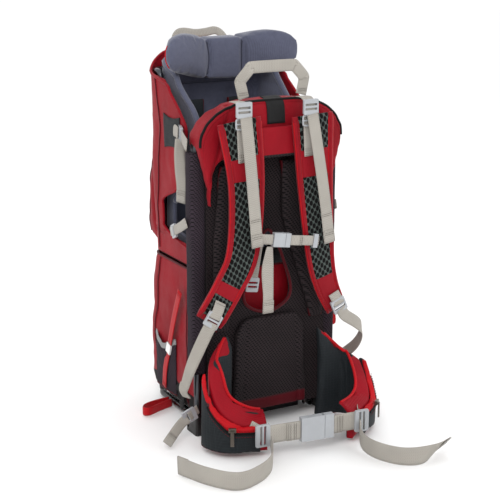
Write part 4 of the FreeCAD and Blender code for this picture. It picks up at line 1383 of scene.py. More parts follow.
    def shell_trim(self, lay: Lay) -> None:
        """Seams on the shell, and the charcoal panels that carry the upper side straps."""
        sewing = Sewing(Cloths.red_thread)
        cords = []
        for name, side in SIDES:
            way = Vector((-side, 0, 0))
            route = [(0.150, 0.350), (0.146, 0.45), (0.136, 0.55), (0.130, 0.62), (0.142, 0.68),
                     (0.156, 0.74)]
            spots = [Vector((side * 0.17, y, z)) for y, z in route]
            places = lay.down(curve_through(spots, 6), way, 0.0005)[0]
            if len(places) > 4:
                cords.append(cord_piece(f"shell_seam_{side}", places, 0.0014, steps=2))
                row, faces = lay.down([p + Vector((0, -0.004, 0)) for p in places], way, 0.0003)
                sewing.row(row, faces)
            self.side_panel(lay, name, side)
        trim(join("cockpit_shell_piping", cords), Cloths.maroon)
        sewing.make("cockpit_stitches")

    def side_panel(self, lay: Lay, name: str, side: int) -> None:
        """A charcoal panel with waisted edges, sewn under the upper side strap.

        Args:
            lay: the shell's outside.
            name: left or right.
            side: which side it is on.
        """
        way = Vector((-side, 0, 0))
        columns, rows = 22, 14
        found = []
        for k in range(columns):
            share = k / (columns - 1)
            y = 0.031 + 0.076 * share
            dip = 0.006 * math.sin(math.pi * share)
            line = [Vector((side * 0.17, y, 0.573 + dip + (0.071 - 2 * dip) * n / (rows - 1)))
                    for n in range(rows)]
            found.append(lay.down(line, way, 0.0014)[0])
        if any(len(line) != rows for line in found):
            return
        piece = net(f"side_panel_{name}", found)
        refine(piece, "SOLIDIFY", thickness=0.0012, offset=0.0)
        trim(piece, Cloths.charcoal, "charcoal_fabric")

    def inside(self) -> None:
        """The seat, the front pad, and the child's harness pads."""
        seat = cushion("seat_cushion", ["seat_pad"],
                       Stuffing(voxel=0.006, shrink=0.004, round=8, pressure=4.0, cap=0.006),
                       lambda p: np.abs(np.abs(p[:, 0]) - 0.038), 0.004, 0.006)
        # painted shade: the seat, down inside the cockpit, takes the darker copy of the slate cloth
        finish_soft(seat, Cloths.slate_shaded, "seat", "slate_fabric", "seat_pad", fill=0.7)
        chin = cushion("chin_cushion", ["chin_pad"],
                       Stuffing(voxel=0.005, shrink=0.003, round=8, pressure=4.0, cap=0.005))
        finish_soft(chin, Cloths.slate, "pack", "slate_fabric", "chin_pad", fill=0.7)
        pads = cushion("child_harness_cushions", ["child_harness_pads"],
                       Stuffing(voxel=0.004, shrink=0.001, round=3, pressure=3.0, cap=0.002))
        points = corners_of(pads)
        paint(pads, "rim", np.minimum(np.abs(np.abs(points[:, 0]) - 0.026),
                                      np.abs(np.abs(points[:, 0]) - 0.070)))
        finish_soft(pads, banded("child_pad_cloth", Cloths.charcoal, Cloths.maroon, 0.005), "pack",
                    "charcoal_fabric", "child_harness_pads", fill=0.6)

    def rear_pocket(self) -> None:
        """The big pocket on the back: full below, flat at the top, with piping and a curved zip."""
        pocket = cushion("rear_pocket_shell", ["rear_pocket"], Stuffing(voxel=0.0065, shrink=0.003, round=8,
                                                                        pressure=4.5, cap=0.008),
                         hold=lambda p: p[:, 1] < 0.205)
        finish_soft(pocket, Cloths.red, "pack", "red_fabric", "rear_pocket", fill=0.4)
        lay = Lay(pocket)
        way = FRONT
        arc = [Vector((0.088 * math.sin(a), 0.30, 0.545 - 0.090 * (1 - math.cos(a)) ** 1.2))
               for a in np.linspace(-1.4, 1.4, 34)]
        places, outs = lay.down(arc, way, 0.0009)
        teeth = sweep("rear_zip_teeth", places, outs, strap_section(0.006, 0.0016, 2))
        trim(teeth, Cloths.black_webbing, "black_plastic")
        flap, faces = lay.down([p + UP * 0.008 for p in arc], way, 0.0024)
        trim(sweep("rear_zip_flap", flap, faces, strap_section(0.012, 0.0012, 3)), Cloths.red_flat)
        sewing = Sewing(Cloths.red_thread)
        for shift in (0.017, -0.009):
            row, faces = lay.down([p + UP * shift for p in arc], way, 0.0003)
            sewing.row(row, faces)
        cords = []
        for sign in (LEFT, RIGHT):
            edge = [Vector((sign * 0.116, 0.30, z)) for z in np.linspace(0.366, 0.60, 24)]
            places, outs = lay.down(edge, way, 0.0006)
            cords.append(cord_piece(f"pocket_pipe_{sign}", places, 0.0018, steps=2))
            row, faces = lay.down([p - Vector((sign * 0.006, 0, 0)) for p in edge], way, 0.0003)
            sewing.row(row, faces)
        trim(join("rear_pocket_piping", cords), Cloths.maroon)
        sewing.make("rear_pocket_stitches")


@dataclass
class Headrest:
    """The winged headrest: three stuffed sections between two sewn seams."""

    seam: float = 0.043
    bow: float = 0.010
    middle: float = 0.747
    reach: float = 0.050

    def seam_x(self, z: np.ndarray | float, side: int) -> np.ndarray | float:
        """Where a seam runs at a height; the left one bows inwards."""
        bow = self.bow * (1 - ((z - self.middle) / self.reach) ** 2) if side == LEFT else 0.0 * z
        return side * self.seam + bow

    def distance(self, points: np.ndarray) -> np.ndarray:
        """How far each point is from the nearer seam."""
        gaps = [np.abs(points[:, 0] - self.seam_x(points[:, 2], side)) for side in (LEFT, RIGHT)]
        return np.minimum(*gaps)

    def build(self) -> None:
        """Makes the cushion and its seams."""
        piece = cushion("headrest_pad", ["headrest_cushion"], Stuffing(voxel=0.005, shrink=0.0035, round=12,
                                                                       pressure=4.5, cap=0.008),
                        self.distance, 0.0055, 0.005)
        finish_soft(piece, Cloths.slate, "headrest", "slate_fabric", "headrest_cushion", fill=0.85)
        lay = Lay(piece)
        cords = []
        for side in (LEFT, RIGHT):
            low, high = self.middle - self.reach + 0.002, self.middle + self.reach + 0.002
            front = [Vector((self.seam_x(z, side), 0.05, z)) for z in np.linspace(low, high, 18)]
            back = [Vector((self.seam_x(z, side), 0.20, z)) for z in np.linspace(high, low, 18)]
            line = lay.down(front, BACK, 0.0006)[0] + lay.down(back, FRONT, 0.0006)[0]
            cords.append(cord_piece(f"head_seam_{side}", line, 0.0011, True, 2))
        # painted shade: a thin cord of the darker slate copy runs in each seam's groove
        finish_soft(join("headrest_seam_shades", cords), Cloths.slate_shaded, "headrest", "slate_fabric")
        pipes = []
        for side in (LEFT, RIGHT):
            tip = [Vector((side * 0.164, 0.075, z)) for z in np.linspace(0.716, 0.792, 14)]
            pipes.append(cord_piece(f"head_tip_{side}", lay.near(tip, 0.0004)[0], 0.0014, steps=2))
        finish_soft(join("headrest_piping", pipes), Cloths.bright, "headrest", "red_fabric")


# ---------------------------------------------------------------- back system


@dataclass
class BackSystem:
    """What lies on the wearer's back: mesh pads, lumbar pad, the frame's red cap and the side sleeves."""

    pad_outline: Table = ((0.022, 0.568), (0.112, 0.568), (0.121, 0.540), (0.126, 0.480), (0.134, 0.400),
                          (0.134, 0.250), (0.126, 0.218), (0.094, 0.218), (0.084, 0.252), (0.068, 0.300),
                          (0.036, 0.400), (0.022, 0.450), (0.022, 0.568))
    window: Table = ((0.0, 0.246), (0.052, 0.272), (0.046, 0.330), (0.0, 0.420), (-0.046, 0.330),
                     (-0.052, 0.272))
    cap_top: Table = ((0.163, 0.604), (0.161, 0.624), (0.147, 0.650), (0.124, 0.669), (0.095, 0.682),
                      (0.060, 0.688), (0.0, 0.690))

    def build(self) -> None:
        """Makes the parts from the panel outwards."""
        bind_mesh = banded("back_mesh_bound", Cloths.mesh, Cloths.maroon, 0.0055)
        pads = cushion("back_mesh_cushions", ["back_mesh_pads"],
                       Stuffing(voxel=0.0045, shrink=0.002, round=5, pressure=4.0, cap=0.004))
        points = corners_of(pads)
        mirrored = points.copy()
        mirrored[:, 0] = np.abs(mirrored[:, 0])
        rim = distance_to(mirrored, self.pad_outline, (0, 2))
        paint(pads, "rim", np.where(points[:, 1] < -0.074, rim, 0.0))
        finish_soft(pads, bind_mesh, "pack", "mesh_fabric", "back_mesh_pads", fill=0.6)

        lumbar = cushion("lumbar_cushion", ["lumbar_pad"],
                         Stuffing(voxel=0.005, shrink=0.002, round=5, pressure=4.0, cap=0.005),
                         lambda p: np.abs(np.abs(p[:, 0]) - 0.064 - (0.10 - p[:, 2]) * 0.06), 0.002, 0.004)
        paint(lumbar, "rim", (corners_of(lumbar)[:, 2] - 0.042) * 0.22)
        finish_soft(lumbar, bind_mesh, "pack", "mesh_fabric", "lumbar_pad", fill=0.7)
        self.window_trim()
        self.cap()
        for name, sign in SIDES:
            self.sleeve(name, sign)

    def window_trim(self) -> None:
        """Maroon binding round the opening in the back panel."""
        edge = curve_through([Vector((x, -0.0725, z)) for x, z in self.window], 8, True)
        piping = cord_piece("back_window_binding", edge, 0.0034, True, 1)
        trim(piping, Cloths.maroon)

    def cap(self) -> None:
        """The padded red cap, with black piping over its top and a rubber patch in the middle."""
        piece = cushion("frame_cap_pad", ["yoke_cap"], Stuffing(voxel=0.0055, shrink=0.002, round=6,
                                                                pressure=3.5, cap=0.005),
                        lambda p: np.where(p[:, 1] < -0.07,
                                           np.abs(np.abs(p[:, 0]) - 0.118 + (p[:, 2] - 0.6) * 0.3), 1.0),
                        0.003, 0.005)
        finish_soft(piece, Cloths.red, "pack", "red_fabric", "yoke_cap", fill=0.5)
        lay = Lay(piece)
        top = [*[Vector((x, -0.094, z)) for x, z in self.cap_top],
               *[Vector((-x, -0.094, z)) for x, z in reversed(self.cap_top[:-1])]]
        places, _ = lay.near(curve_through(top, 4), 0.0006)
        piping = cord_piece("frame_cap_piping", places, 0.0028, steps=2)
        trim(piping, Cloths.black, "charcoal_fabric")
        inset, faces = lay.down([Vector((p.x * 0.95, -0.14, p.z - 0.009)) for p in curve_through(top, 4)],
                                BACK, 0.0004)
        sewing = Sewing(Cloths.red_thread)
        sewing.row(inset, faces)
        sewing.make("frame_cap_stitches")
        spots = [Vector((0.002, -0.15, z)) for z in np.linspace(0.640, 0.686, 9)]
        down, outs = lay.down(spots, BACK, 0.0012)
        over, more = lay.down([Vector((0.002, y, 0.74)) for y in (-0.092, -0.082, -0.072)],
                              Vector((0, 0, -1)), 0.0012)
        patch = sweep("frame_cap_patch", down + over, outs + more, strap_section(0.040, 0.0022))
        finish_soft(patch, Cloths.rubber, "pack", "grip_rubber", "yoke_patch")

    def sleeve(self, name: str, sign: int) -> None:
        """A mesh sleeve round one upright of the frame, rumpled and seamed.

        Args:
            name: left or right.
            sign: which side it is on.
        """
        centre = sign * 0.1515
        rings = []
        for z in np.linspace(0.135, 0.589, 90):
            ring = []
            for k in range(28):
                a = 2 * math.pi * k / 28
                c, s = math.cos(a), math.sin(a)
                reach = 0.0165 / (abs(c) ** 4 + abs(s) ** 4) ** 0.25
                crease = noise.fractal(Vector((c * 0.5, s * 0.5 + sign, z * 13)), 1.0, 2.2, 3) * 0.0011
                seam = -0.0016 * math.exp(-((a - 4.2) / 0.11) ** 2)
                ring.append(Vector((centre + c * (reach + crease + seam),
                                    -0.052 + s * (reach + crease + seam), z)))
            rings.append(ring)
        piece = loft(f"frame_sleeve_{name}", rings)
        finish_soft(piece, Cloths.side_mesh, "pack", "mesh_fabric", "pillar_covers", fill=0.5)
        edge = [Vector((centre - sign * 0.014, -0.0675, z)) for z in np.linspace(0.14, 0.585, 30)]
        hem = cord_piece(f"sleeve_seam_{name}", Lay(piece).near(edge, 0.0004)[0], 0.0011, steps=2)
        trim(hem, Cloths.black, "charcoal_fabric")


# ---------------------------------------------------------------- shoulder harness


@dataclass
class ShoulderPad:
    """One contoured shoulder pad: open mesh down its middle between rolled red edges, and sewn red bars."""

    name: str
    stations: tuple[tuple[float, float, float], ...]
    bars: Table
    face: float = -0.1215
    half_thickness: float = 0.0078
    rows: int = 130
    columns: int = 30
    band: float = 0.74
    spread: float = 1.07

    def spine(self) -> tuple[list[Vector], list[float]]:
        """The pad's middle line and its half width there."""
        middle = curve_through([mm(x, 0, z) for x, z, _ in self.stations], 26)
        widths = curve_through([Vector((w * self.spread / 1000, 0, 0)) for _, _, w in self.stations], 26)
        reach = lengths(middle)
        at = np.linspace(0, reach[-1], self.rows)
        line = [Vector((np.interp(a, reach, [p.x for p in middle]), 0,
                        np.interp(a, reach, [p.z for p in middle]))) for a in at]
        return line, [float(np.interp(a, reach, [w.x for w in widths])) for a in at]

    def thickness(self, across: float, along: float) -> float:
        """Half the pad's thickness: two rolls beside a flatter middle, thin at both ends."""
        s = abs(across)
        half = (1 - self.band) / 2
        roll = math.sqrt(max(0.0, 1 - ((s - 1 + half) / half) ** 2)) if s > self.band else 0.0
        middle = 0.80 + 0.12 * (1 - (s / self.band) ** 2) if s < self.band else 0.0
        seam = 0.34 * math.exp(-((s - self.band) / 0.035) ** 2)
        end = min(1.0, along / 0.03, (1 - along) / 0.03)
        return self.half_thickness * max(0.10, max(roll, middle) - seam) * math.sqrt(max(0.04, end))

    def build(self) -> None:
        """Makes the pad, its seams and its bars."""
        line, widths = self.spine()
        ways = headings(line)
        rings, across_paint, along_paint = [], [], []
        total = lengths(line)[-1]
        steps = [-math.cos(math.pi * k / (self.columns - 1)) for k in range(self.columns)]
        for k, (point, way, width) in enumerate(zip(line, ways, widths)):
            along = k / (self.rows - 1)
            side = Vector((-way.z, 0, way.x))
            ring = []
            for lift, row in ((-1, steps), (0.9, steps[::-1])):
                for s in row:
                    wave = noise.noise(Vector((point.x * 20 + s, lift, point.z * 20))) * 0.0005
                    depth = self.thickness(s, along) + wave
                    ring.append(point + side * (s * width) + Vector((0, self.face + lift * depth, 0)))
                    across_paint.append(abs(s))
                    along_paint.append(along * total)
            rings.append(ring)
        pad = loft(f"shoulder_{self.name}_pad", rings)
        paint(pad, "across", np.array(across_paint))
        bars = np.full(len(across_paint), 1.0)
        for low, high in self.bars:
            middle, half = (low + high) / 2, (high - low) / 2
            bars = np.minimum(bars, np.abs(np.array(along_paint) - middle) - half + 0.01)
        paint(pad, "bar", bars)
        open_mesh = Faced("pad_mesh_and_bars", Cloths.honey.colour, inner=Cloths.honey, outer=Cloths.red_flat,
                          paint="bar", edge=0.010, depth=0.001)
        edged = Faced("pad_with_red_edges", RED, inner=Cloths.red_flat, outer=open_mesh, paint="across",
                      edge=self.band, softness=0.02, depth=0.001, sheen=0.1)
        finish_soft(pad, edged, "harness", "strap_mesh", f"shoulder_pad_{self.name}", fill=0.6)
        self.seams(Lay(pad), line, ways, widths)

    def seams(self, lay: Lay, line: Line, ways: Line, widths: Sequence[float]) -> None:
        """Bright piping outside the mesh, and stitches beside it and round the bars."""
        sewing = Sewing(Cloths.red_thread)
        cords = []
        for side in (-1, 1):
            for share, radius in ((self.band, 0.0010), (0.985, 0.0016)):
                spots = [p + Vector((-w.z, 0, w.x)) * (side * share * half) + Vector((0, -0.15, 0))
                         for p, w, half in list(zip(line, ways, widths))[3:-3:2]]
                places = lay.down(spots, BACK, 0.0004)[0]
                if len(places) > 8:
                    cords.append(cord_piece(f"pad_pipe_{side}_{share}", places, radius, steps=1))
            spots = [p + Vector((-w.z, 0, w.x)) * (side * 0.82 * half) + Vector((0, -0.15, 0))
                     for p, w, half in list(zip(line, ways, widths))[3:-3:2]]
            sewing.row(*lay.down(spots, BACK, 0.0003))
        reach = lengths(line)
        for low, high in self.bars:
            for at in (low + 0.003, high - 0.003):
                k = min(range(len(reach)), key=lambda n: abs(reach[n] - at))
                side = Vector((-ways[k].z, 0, ways[k].x))
                spots = [line[k] + side * (s * widths[k]) + Vector((0, -0.15, 0)) for s in np.linspace(-0.7,
                                                                                                       0.7,
                                                                                                       14)]
                sewing.row(*lay.down(spots, BACK, 0.0003), 0.004)
        finish_soft(join(f"shoulder_{self.name}_piping", cords), Cloths.bright, "harness", "red_fabric")
        sewing.make(f"shoulder_{self.name}_stitches", "harness", "red_fabric")


@dataclass
class Harness:
    """Both shoulder pads, the yoke panel behind them, and the webbing that adjusts them."""

    lift_front: float = -0.1435
    web: float = 0.025
    slim: float = 0.020

    def build(self) -> None:
        """Makes the harness."""
        ShoulderPad("left", ((-91, 655, 44), (-76, 527, 36), (-84, 395, 33), (-116, 328, 31),
                             (-160, 262, 30)), ((0.072, 0.118), (0.331, 0.358), (0.405, 0.42))).build()
        ShoulderPad("right", ((73, 655, 44), (81, 512, 37), (94, 372, 30), (110, 302, 25), (136, 246, 21)),
                    ((0.068, 0.122), (0.335, 0.42))).build()
        yoke = cushion("harness_yoke_panel", ["harness_yoke"], Stuffing(voxel=0.0035, shrink=0.001, round=3,
                                                                        pressure=2.5, cap=0.0015))
        points = corners_of(yoke)
        paint(yoke, "rim", points[:, 2] - 0.577)
        finish_soft(yoke, banded("yoke_cloth", Cloths.red_flat, Cloths.mesh, 0.004), "harness", "red_fabric",
                    "harness_yoke", fill=0.4)
        self.lower_straps()
        self.lifters()

    def lower_straps(self) -> None:
        """The webbing from the pads' lower ends to the pack."""
        webs = Strapping("harness", "lower_webbings")
        webs.strap("lower_tab_left", route((-138, -132, 303), (-147, -137, 288), (-156, -138.5, 273)), FRONT,
                   self.web)
        webs.strap("lower_tab_right", route((123, -132, 284), (129, -137, 270), (133, -138.5, 260)), FRONT,
                   self.web)
        webs.tacks([mm(-140, -133.6, 299)], Vector((-0.5, 0, -0.85)), FRONT, self.web)
        webs.done("lower_tab_stitches")
        for name, points, outs in (("left", route((-160, -138, 266), (-169, -133, 248), (-178, -112, 205),
                                                  (-184, -88, 160), (-182, -62, 122), (-180, -48, 104)),
                                    [Vector((-0.4, -1, 0.2)), Vector((-0.5, -1, 0)), Vector((-0.7, -0.8, 0)),
                                     Vector((-0.9, -0.5, 0)), Vector((-1, -0.3, 0)), Vector((-1, -0.2, 0))]),
                                   ("right", route((138, -139, 250), (150, -135, 233), (184, -130, 209),
                                                   (203, -120, 186), (205, -92, 146), (186, -50, 104)),
                                    [Vector((0.1, -1, 0)), Vector((0.1, -1, 0)), Vector((0.5, -0.9, 0)),
                                     Vector((0.95, -0.4, 0)), Vector((1, -0.2, 0)), Vector((1, -0.2, 0))]),):
            piece = ribbon(f"lower_strap_{name}", points, outs, self.web)
            dress(piece, Cloths.webbing)
            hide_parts("lower_webbings")
            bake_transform(piece)
        anchor = Strapping("pack", "pack_straps")
        for sign in (LEFT, RIGHT):
            x = sign * 180
            anchor.strap(f"lower_anchor_{sign + 2}",
                         [mm(x, -50, 112), mm(x + sign, -46, 96), mm(x - sign * 8, -44, 80)],
                         Vector((sign, -0.3, 0)), self.web)

    def lifters(self) -> None:
        """The load lifters: the strap over the cap, a strip sewn down the pad, and the long loose end."""
        webs = Strapping("harness", "load_lifters")
        for name, top_x, low_x, low_z, lock_z in (("left", -88, -63, 407, 678), ("right", 60, 104, 396, 674)):
            y = self.lift_front * 1000
            points = [mm(top_x, y, lock_z - 14), mm(top_x + (low_x - top_x) * 0.3, y - 2, lock_z - 90),
                      mm(top_x + (low_x - top_x) * 0.68, y - 1.5, lock_z - 185), mm(low_x, y, low_z)]
            webs.tail(f"lifter_tail_{name}", points, FRONT, self.web, Hold.HUNG, [f"shoulder_{name}_pad"])
            seam = points[2] + (points[3] - points[2]) * 0.35
            webs.tacks([seam], (points[3] - points[2]).normalized(), FRONT, self.web)
            strip = [mm(top_x - 5, -133.5, lock_z - 16), mm(top_x - 3, -132, 625), mm(top_x, -131.2, 575)]
            webs.strap(f"lifter_strip_{name}", strip, FRONT, self.slim)
            webs.tacks([mm(top_x, -132.6, 581), mm(top_x - 1, -132.8, 590)], Vector((0, 0, -1)), FRONT,
                       self.slim)
            self.glide(f"lifter_glide_{name}", mm(top_x - 5, -137.5, lock_z - 27), 0.026, 0.019)
            over = [mm(top_x - 3, -104, 690), mm(top_x - 3, -122, 690.5), mm(top_x - 3, -136, lock_z + 9),
                    mm(top_x - 2, -139.4, lock_z - 3), mm(top_x - 2, -139.4, lock_z - 15)]
            outs = [Vector((0, -0.1, 1)), Vector((0, -0.3, 1)), Vector((0, -1, 0.6)), FRONT, FRONT]
            piece = ribbon(f"lifter_over_{name}", over, outs, self.web)
            dress(piece, Cloths.webbing)
            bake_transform(piece)
        webs.done("lifter_stitches")

    def glide(self, name: str, centre: Vector, width: float, height: float) -> None:
        """A small three-bar slide: a rounded plastic frame with a bar across it.

        Args:
            name: the piece's name.
            centre: its middle.
            width: its width.
            height: its height.
        """
        w, h = width / 2, height / 2
        corners = ((1, 0.4), (0.8, 1), (-0.8, 1), (-1, 0.4), (-1, -0.4), (-0.8, -1), (0.8, -1), (1, -0.4))
        ring = [centre + Vector((w * c, 0, h * s)) for c, s in corners]
        bar = [centre + Vector((k * w, -0.0004, 0)) for k in (-1, 0, 1)]
        parts = [cord_piece(name, ring, 0.0018, True, 3), cord_piece(name + "_bar", bar, 0.0016)]
        finish_soft(join(name, parts), Cloths.pale, "harness", "grey_plastic")


@dataclass
class Strip:
    """A belt across the front: its middle, its direction and which way it faces."""

    start: Vector
    end: Vector
    share: float

    def at(self, along: float, out: float = 0.0, lift: float = 0.0) -> Vector:
        """A point that many millimetres along it, out from it and above it."""
        middle = self.start + (self.end - self.start) * self.share
        return middle + (self.way * along + self.facing * out + UP * lift) / 1000

    @property
    def way(self) -> Vector:
        """Its direction, from left to right."""
        return (self.end - self.start).normalized()

    @property
    def facing(self) -> Vector:
        """The way its outer face looks."""
        return (FRONT - self.way * FRONT.dot(self.way)).normalized()


@dataclass
class SternumStrap:
    """The chest strap's webbing, whose halves meet in its buckle."""

    strip: Strip = field(default_factory=lambda: Strip(mm(-60, -137, 422), mm(74, -137, 402), 0.4))
    web: float = 0.020

    def build(self) -> None:
        """Makes both halves and the hanging end."""
        out, way, at = self.strip.facing, self.strip.way, self.strip.at
        left = Strapping("sternum_strap", "sternum_webbing")
        left.strap("sternum_left", [at(-63), at(-40), at(-18.6)], out, self.web)
        left.strap("sternum_left_return", [at(-46, 2), at(-30, 2.4), at(-19, 2.1)], out, self.web)
        left.tacks([at(-57)], way, out, self.web)
        drop = route((-33, -141, 404), (-36, -141.5, 388), (-38, -140, 352), (-36, -139.5, 308),
                     (-36, -138.5, 267))
        outs = [Vector((0.6, -1, 0)), Vector((0.3, -1, 0)), Vector((-0.25, -1, 0)), Vector((0.05, -1, 0)),
                FRONT]
        left.tail("sternum_tail", drop, outs, 0.024, Hold.HUNG, ["sternum_buckle_socket"])
        left.done("sternum_left_stitches")
        right = Strapping("sternum_plug", "sternum_webbing_right")
        right.strap("sternum_right", [at(20.6), at(55), at(90)], out, self.web)
        right.strap("sternum_right_return", [at(21, 2.1), at(34, 2.4), at(48, 2)], out, self.web)
        right.tacks([at(44, 2.1), at(85)], way, out, self.web)
        right.done("sternum_right_stitches")


# ---------------------------------------------------------------- hip belt


@dataclass
class HipWing:
    """One padded hip wing with its zipped pouch."""

    name: str
    plan: Table
    centre: tuple[float, float]
    arc: tuple[float, float, float]
    pouch_line: Table = ((-0.320, 0.058), (-0.200, 0.070), (-0.165, 0.108), (-0.124, 0.168))

    def build(self) -> None:
        """Makes the wing, its binding, its pouch and its zip."""
        wing = cushion(f"hip_wing_{self.name}_pad", [f"hip_wing_{self.name}"],
                       Stuffing(voxel=0.0042, shrink=0.0026, round=7, pressure=4.0, cap=0.0045))
        points = corners_of(wing)
        inner = (np.abs(points[:, 0]) < 0.108) & (points[:, 1] > -0.12)
        faces_up = outward(wing)[:, 2] > 0.3
        paint(wing, "side", np.where(inner, -0.02, self.offset(points) + faces_up * 0.005))
        cover = Faced(f"hip_wing_{self.name}_cloth", RED, inner=Cloths.red, outer=Cloths.charcoal,
                      paint="side", edge=-0.0042, softness=0.0004, depth=0.0008)
        move_to(wing, self.leaned(points))
        refine(wing, "SMOOTH", factor=0.6, iterations=9)
        places = self.top_edge(corners_of(wing))
        finish_soft(wing, cover, "pack", "charcoal_fabric", f"hip_wing_{self.name}", fill=0.75)
        lay = Lay(wing)
        piping = cord_piece(f"hip_wing_{self.name}_binding", places, 0.0031, steps=3)
        trim(piping, Cloths.bright)
        under = [Vector((x / 1000, y / 1000, -0.05)) for x, y in self.plan]
        low = lay.down(curve_through(under, 8), UP, 0.0004)[0]
        hem = cord_piece(f"hip_wing_{self.name}_hem", [p + UP * 0.0012 for p in low], 0.0024, steps=1)
        trim(hem, Cloths.red_flat)
        self.inner_seams(lay)
        self.pouch()

    @property
    def hip(self) -> Vector:
        """The point inside the belt that the wing's upper part leans towards."""
        return Vector((math.copysign(0.045, self.centre[0]), -0.112, 0.16))

    def top_edge(self, points: np.ndarray) -> Line:
        """The wing's inner top edge, read from its finished mesh and evened out.

        Args:
            points: the mesh's corners.

        Returns:
            Points along the edge.
        """
        found = []
        line = curve_through([mm(x, y, 0) for x, y in self.plan], 4)[2:-1]
        for spot, way in zip(line, headings(line)):
            side = Vector((-way.y, way.x, 0))
            inward = side * math.copysign(1, side.dot(self.hip - spot))
            gap = points - np.array(spot)
            reach = gap @ np.array(inward)
            near = (np.abs(gap @ np.array(way)) < 0.005) & (np.abs(reach) < 0.06)
            if near.any():
                found.append(points[near][int(np.argmax((reach * 0.8 + points[:, 2])[near]))])
        rows = np.array(found)
        for _ in range(4):
            rows[1:-1] = (rows[:-2] + rows[1:-1] * 2 + rows[2:]) / 4
        return [Vector(row) for row in rows]

    def offset(self, points: np.ndarray) -> np.ndarray:
        """How far each point lies outside the wing's middle surface; less than nothing inside it."""
        plan = [mm(x, y, 0) for x, y in self.plan]
        line = np.array([p.xy for p in curve_through([*plan, plan[-1] * 2 - plan[-2]], 10)])
        gaps = points[:, None, :2] - line[None, :, :]
        nearest = np.argmin(np.sum(gaps ** 2, 2), 1)
        ways = np.gradient(line, axis=0)[nearest]
        out = np.stack([ways[:, 1], -ways[:, 0]], 1) / np.linalg.norm(ways, axis=1)[:, None]
        flip = np.sign(np.sum(out * (line[nearest] - np.array(self.hip.xy)), 1))
        return np.sum(gaps[np.arange(len(points)), nearest] * out, 1) * flip

    def leaned(self, points: np.ndarray) -> np.ndarray:
        """Points of the wing, with what stands above the pouch bent in over the hip."""
        rise = np.clip(points[:, 2] - self.level(points[:, 1]) + 0.002, 0, 0.026)
        fade = np.clip((-0.116 - points[:, 1]) / 0.022, 0, 1)
        inward = np.array(self.hip.xy) - points[:, :2]
        inward = inward / np.linalg.norm(inward, axis=1)[:, None]
        moved = points.copy()
        moved[:, :2] += inward * (rise * fade * 1.45)[:, None]
        return moved

    def inner_seams(self, lay: Lay) -> None:
        """Stitched channels on the side that lies on the hip."""
        sewing = Sewing()
        for drop in (0.030, 0.058):
            spots = []
            for angle in np.linspace(self.arc[0] - 40, self.arc[1] + 20, 26):
                a = math.radians(angle)
                y = self.centre[1] + 0.075 * math.sin(a)
                spots.append((Vector((math.cos(a), math.sin(a), 0)), max(0.02, self.level(y) + 0.006 - drop)))
            places, outs = [], []
            for ray, z in spots:
                start = Vector((self.centre[0], self.centre[1], z))
                hit, normal, _, _ = lay.tree.ray_cast(start, ray, 0.12)
                if hit is not None:
                    places.append(hit + normal * 0.0004)
                    outs.append(normal)
            sewing.row(places, outs)
        if sewing.points:
            sewing.make(f"hip_wing_{self.name}_stitches", slot="charcoal_fabric")

    def level(self, y: float | np.ndarray) -> float | np.ndarray:
        """The height of the pouch's top edge at a place along the pack."""
        return interpolate(y, self.pouch_line)

    def pouch(self) -> None:
        """The stretch pouch under its bright band, with the zip between them."""
        node = f"hip_pouch_{self.name}"
        piece = cushion(f"{node}_shell", [node], Stuffing(voxel=0.0045, shrink=0.0022, round=6, pressure=4.0,
                                                          cap=0.0035))
        points = corners_of(piece)
        paint(piece, "rim", self.level(points[:, 1]) - points[:, 2])
        paint(piece, "hem", points[:, 2])
        body = Faced("pouch_body", CHARCOAL, inner=Cloths.charcoal, outer=Cloths.bright, paint="rim",
                     edge=0.012)
        cloth = Faced("pouch_cloth", CHARCOAL, inner=body, outer=Cloths.maroon, paint="hem", edge=0.013,
                      depth=0.0006)
        finish_soft(piece, cloth, "pack", "charcoal_fabric", node, fill=0.5)
        lay = Lay(piece)
        spots, rays = [], []
        for angle in np.linspace(self.arc[0], self.arc[1], 40):
            a = math.radians(angle)
            ray = Vector((math.cos(a), math.sin(a), 0))
            y = self.centre[1] + self.arc[2] * ray.y
            spots.append(Vector((self.centre[0] + 0.16 * ray.x, self.centre[1] + 0.16 * ray.y,
                                 self.level(y) - 0.0155)))
            rays.append(ray)
        places, outs = [], []
        for spot, ray in zip(spots, rays):
            hit, normal, _, _ = lay.tree.ray_cast(spot, -ray, 0.2)
            if hit is not None and (hit - spot).length < 0.13:
                places.append(hit + normal * 0.0006)
                outs.append(normal)
        if len(places) < 6:
            return
        teeth = sweep(f"hip_zip_teeth_{self.name}", places, outs, strap_section(0.0055, 0.0016, 2))
        trim(teeth, Cloths.black_webbing, "black_plastic")
        sewing = Sewing(Cloths.red_thread)
        sewing.row([p + UP * 0.0065 for p in places], outs)
        sewing.row([p - UP * 0.0065 for p in places], outs)
        sewing.make(f"hip_pouch_{self.name}_stitches", slot="charcoal_fabric")


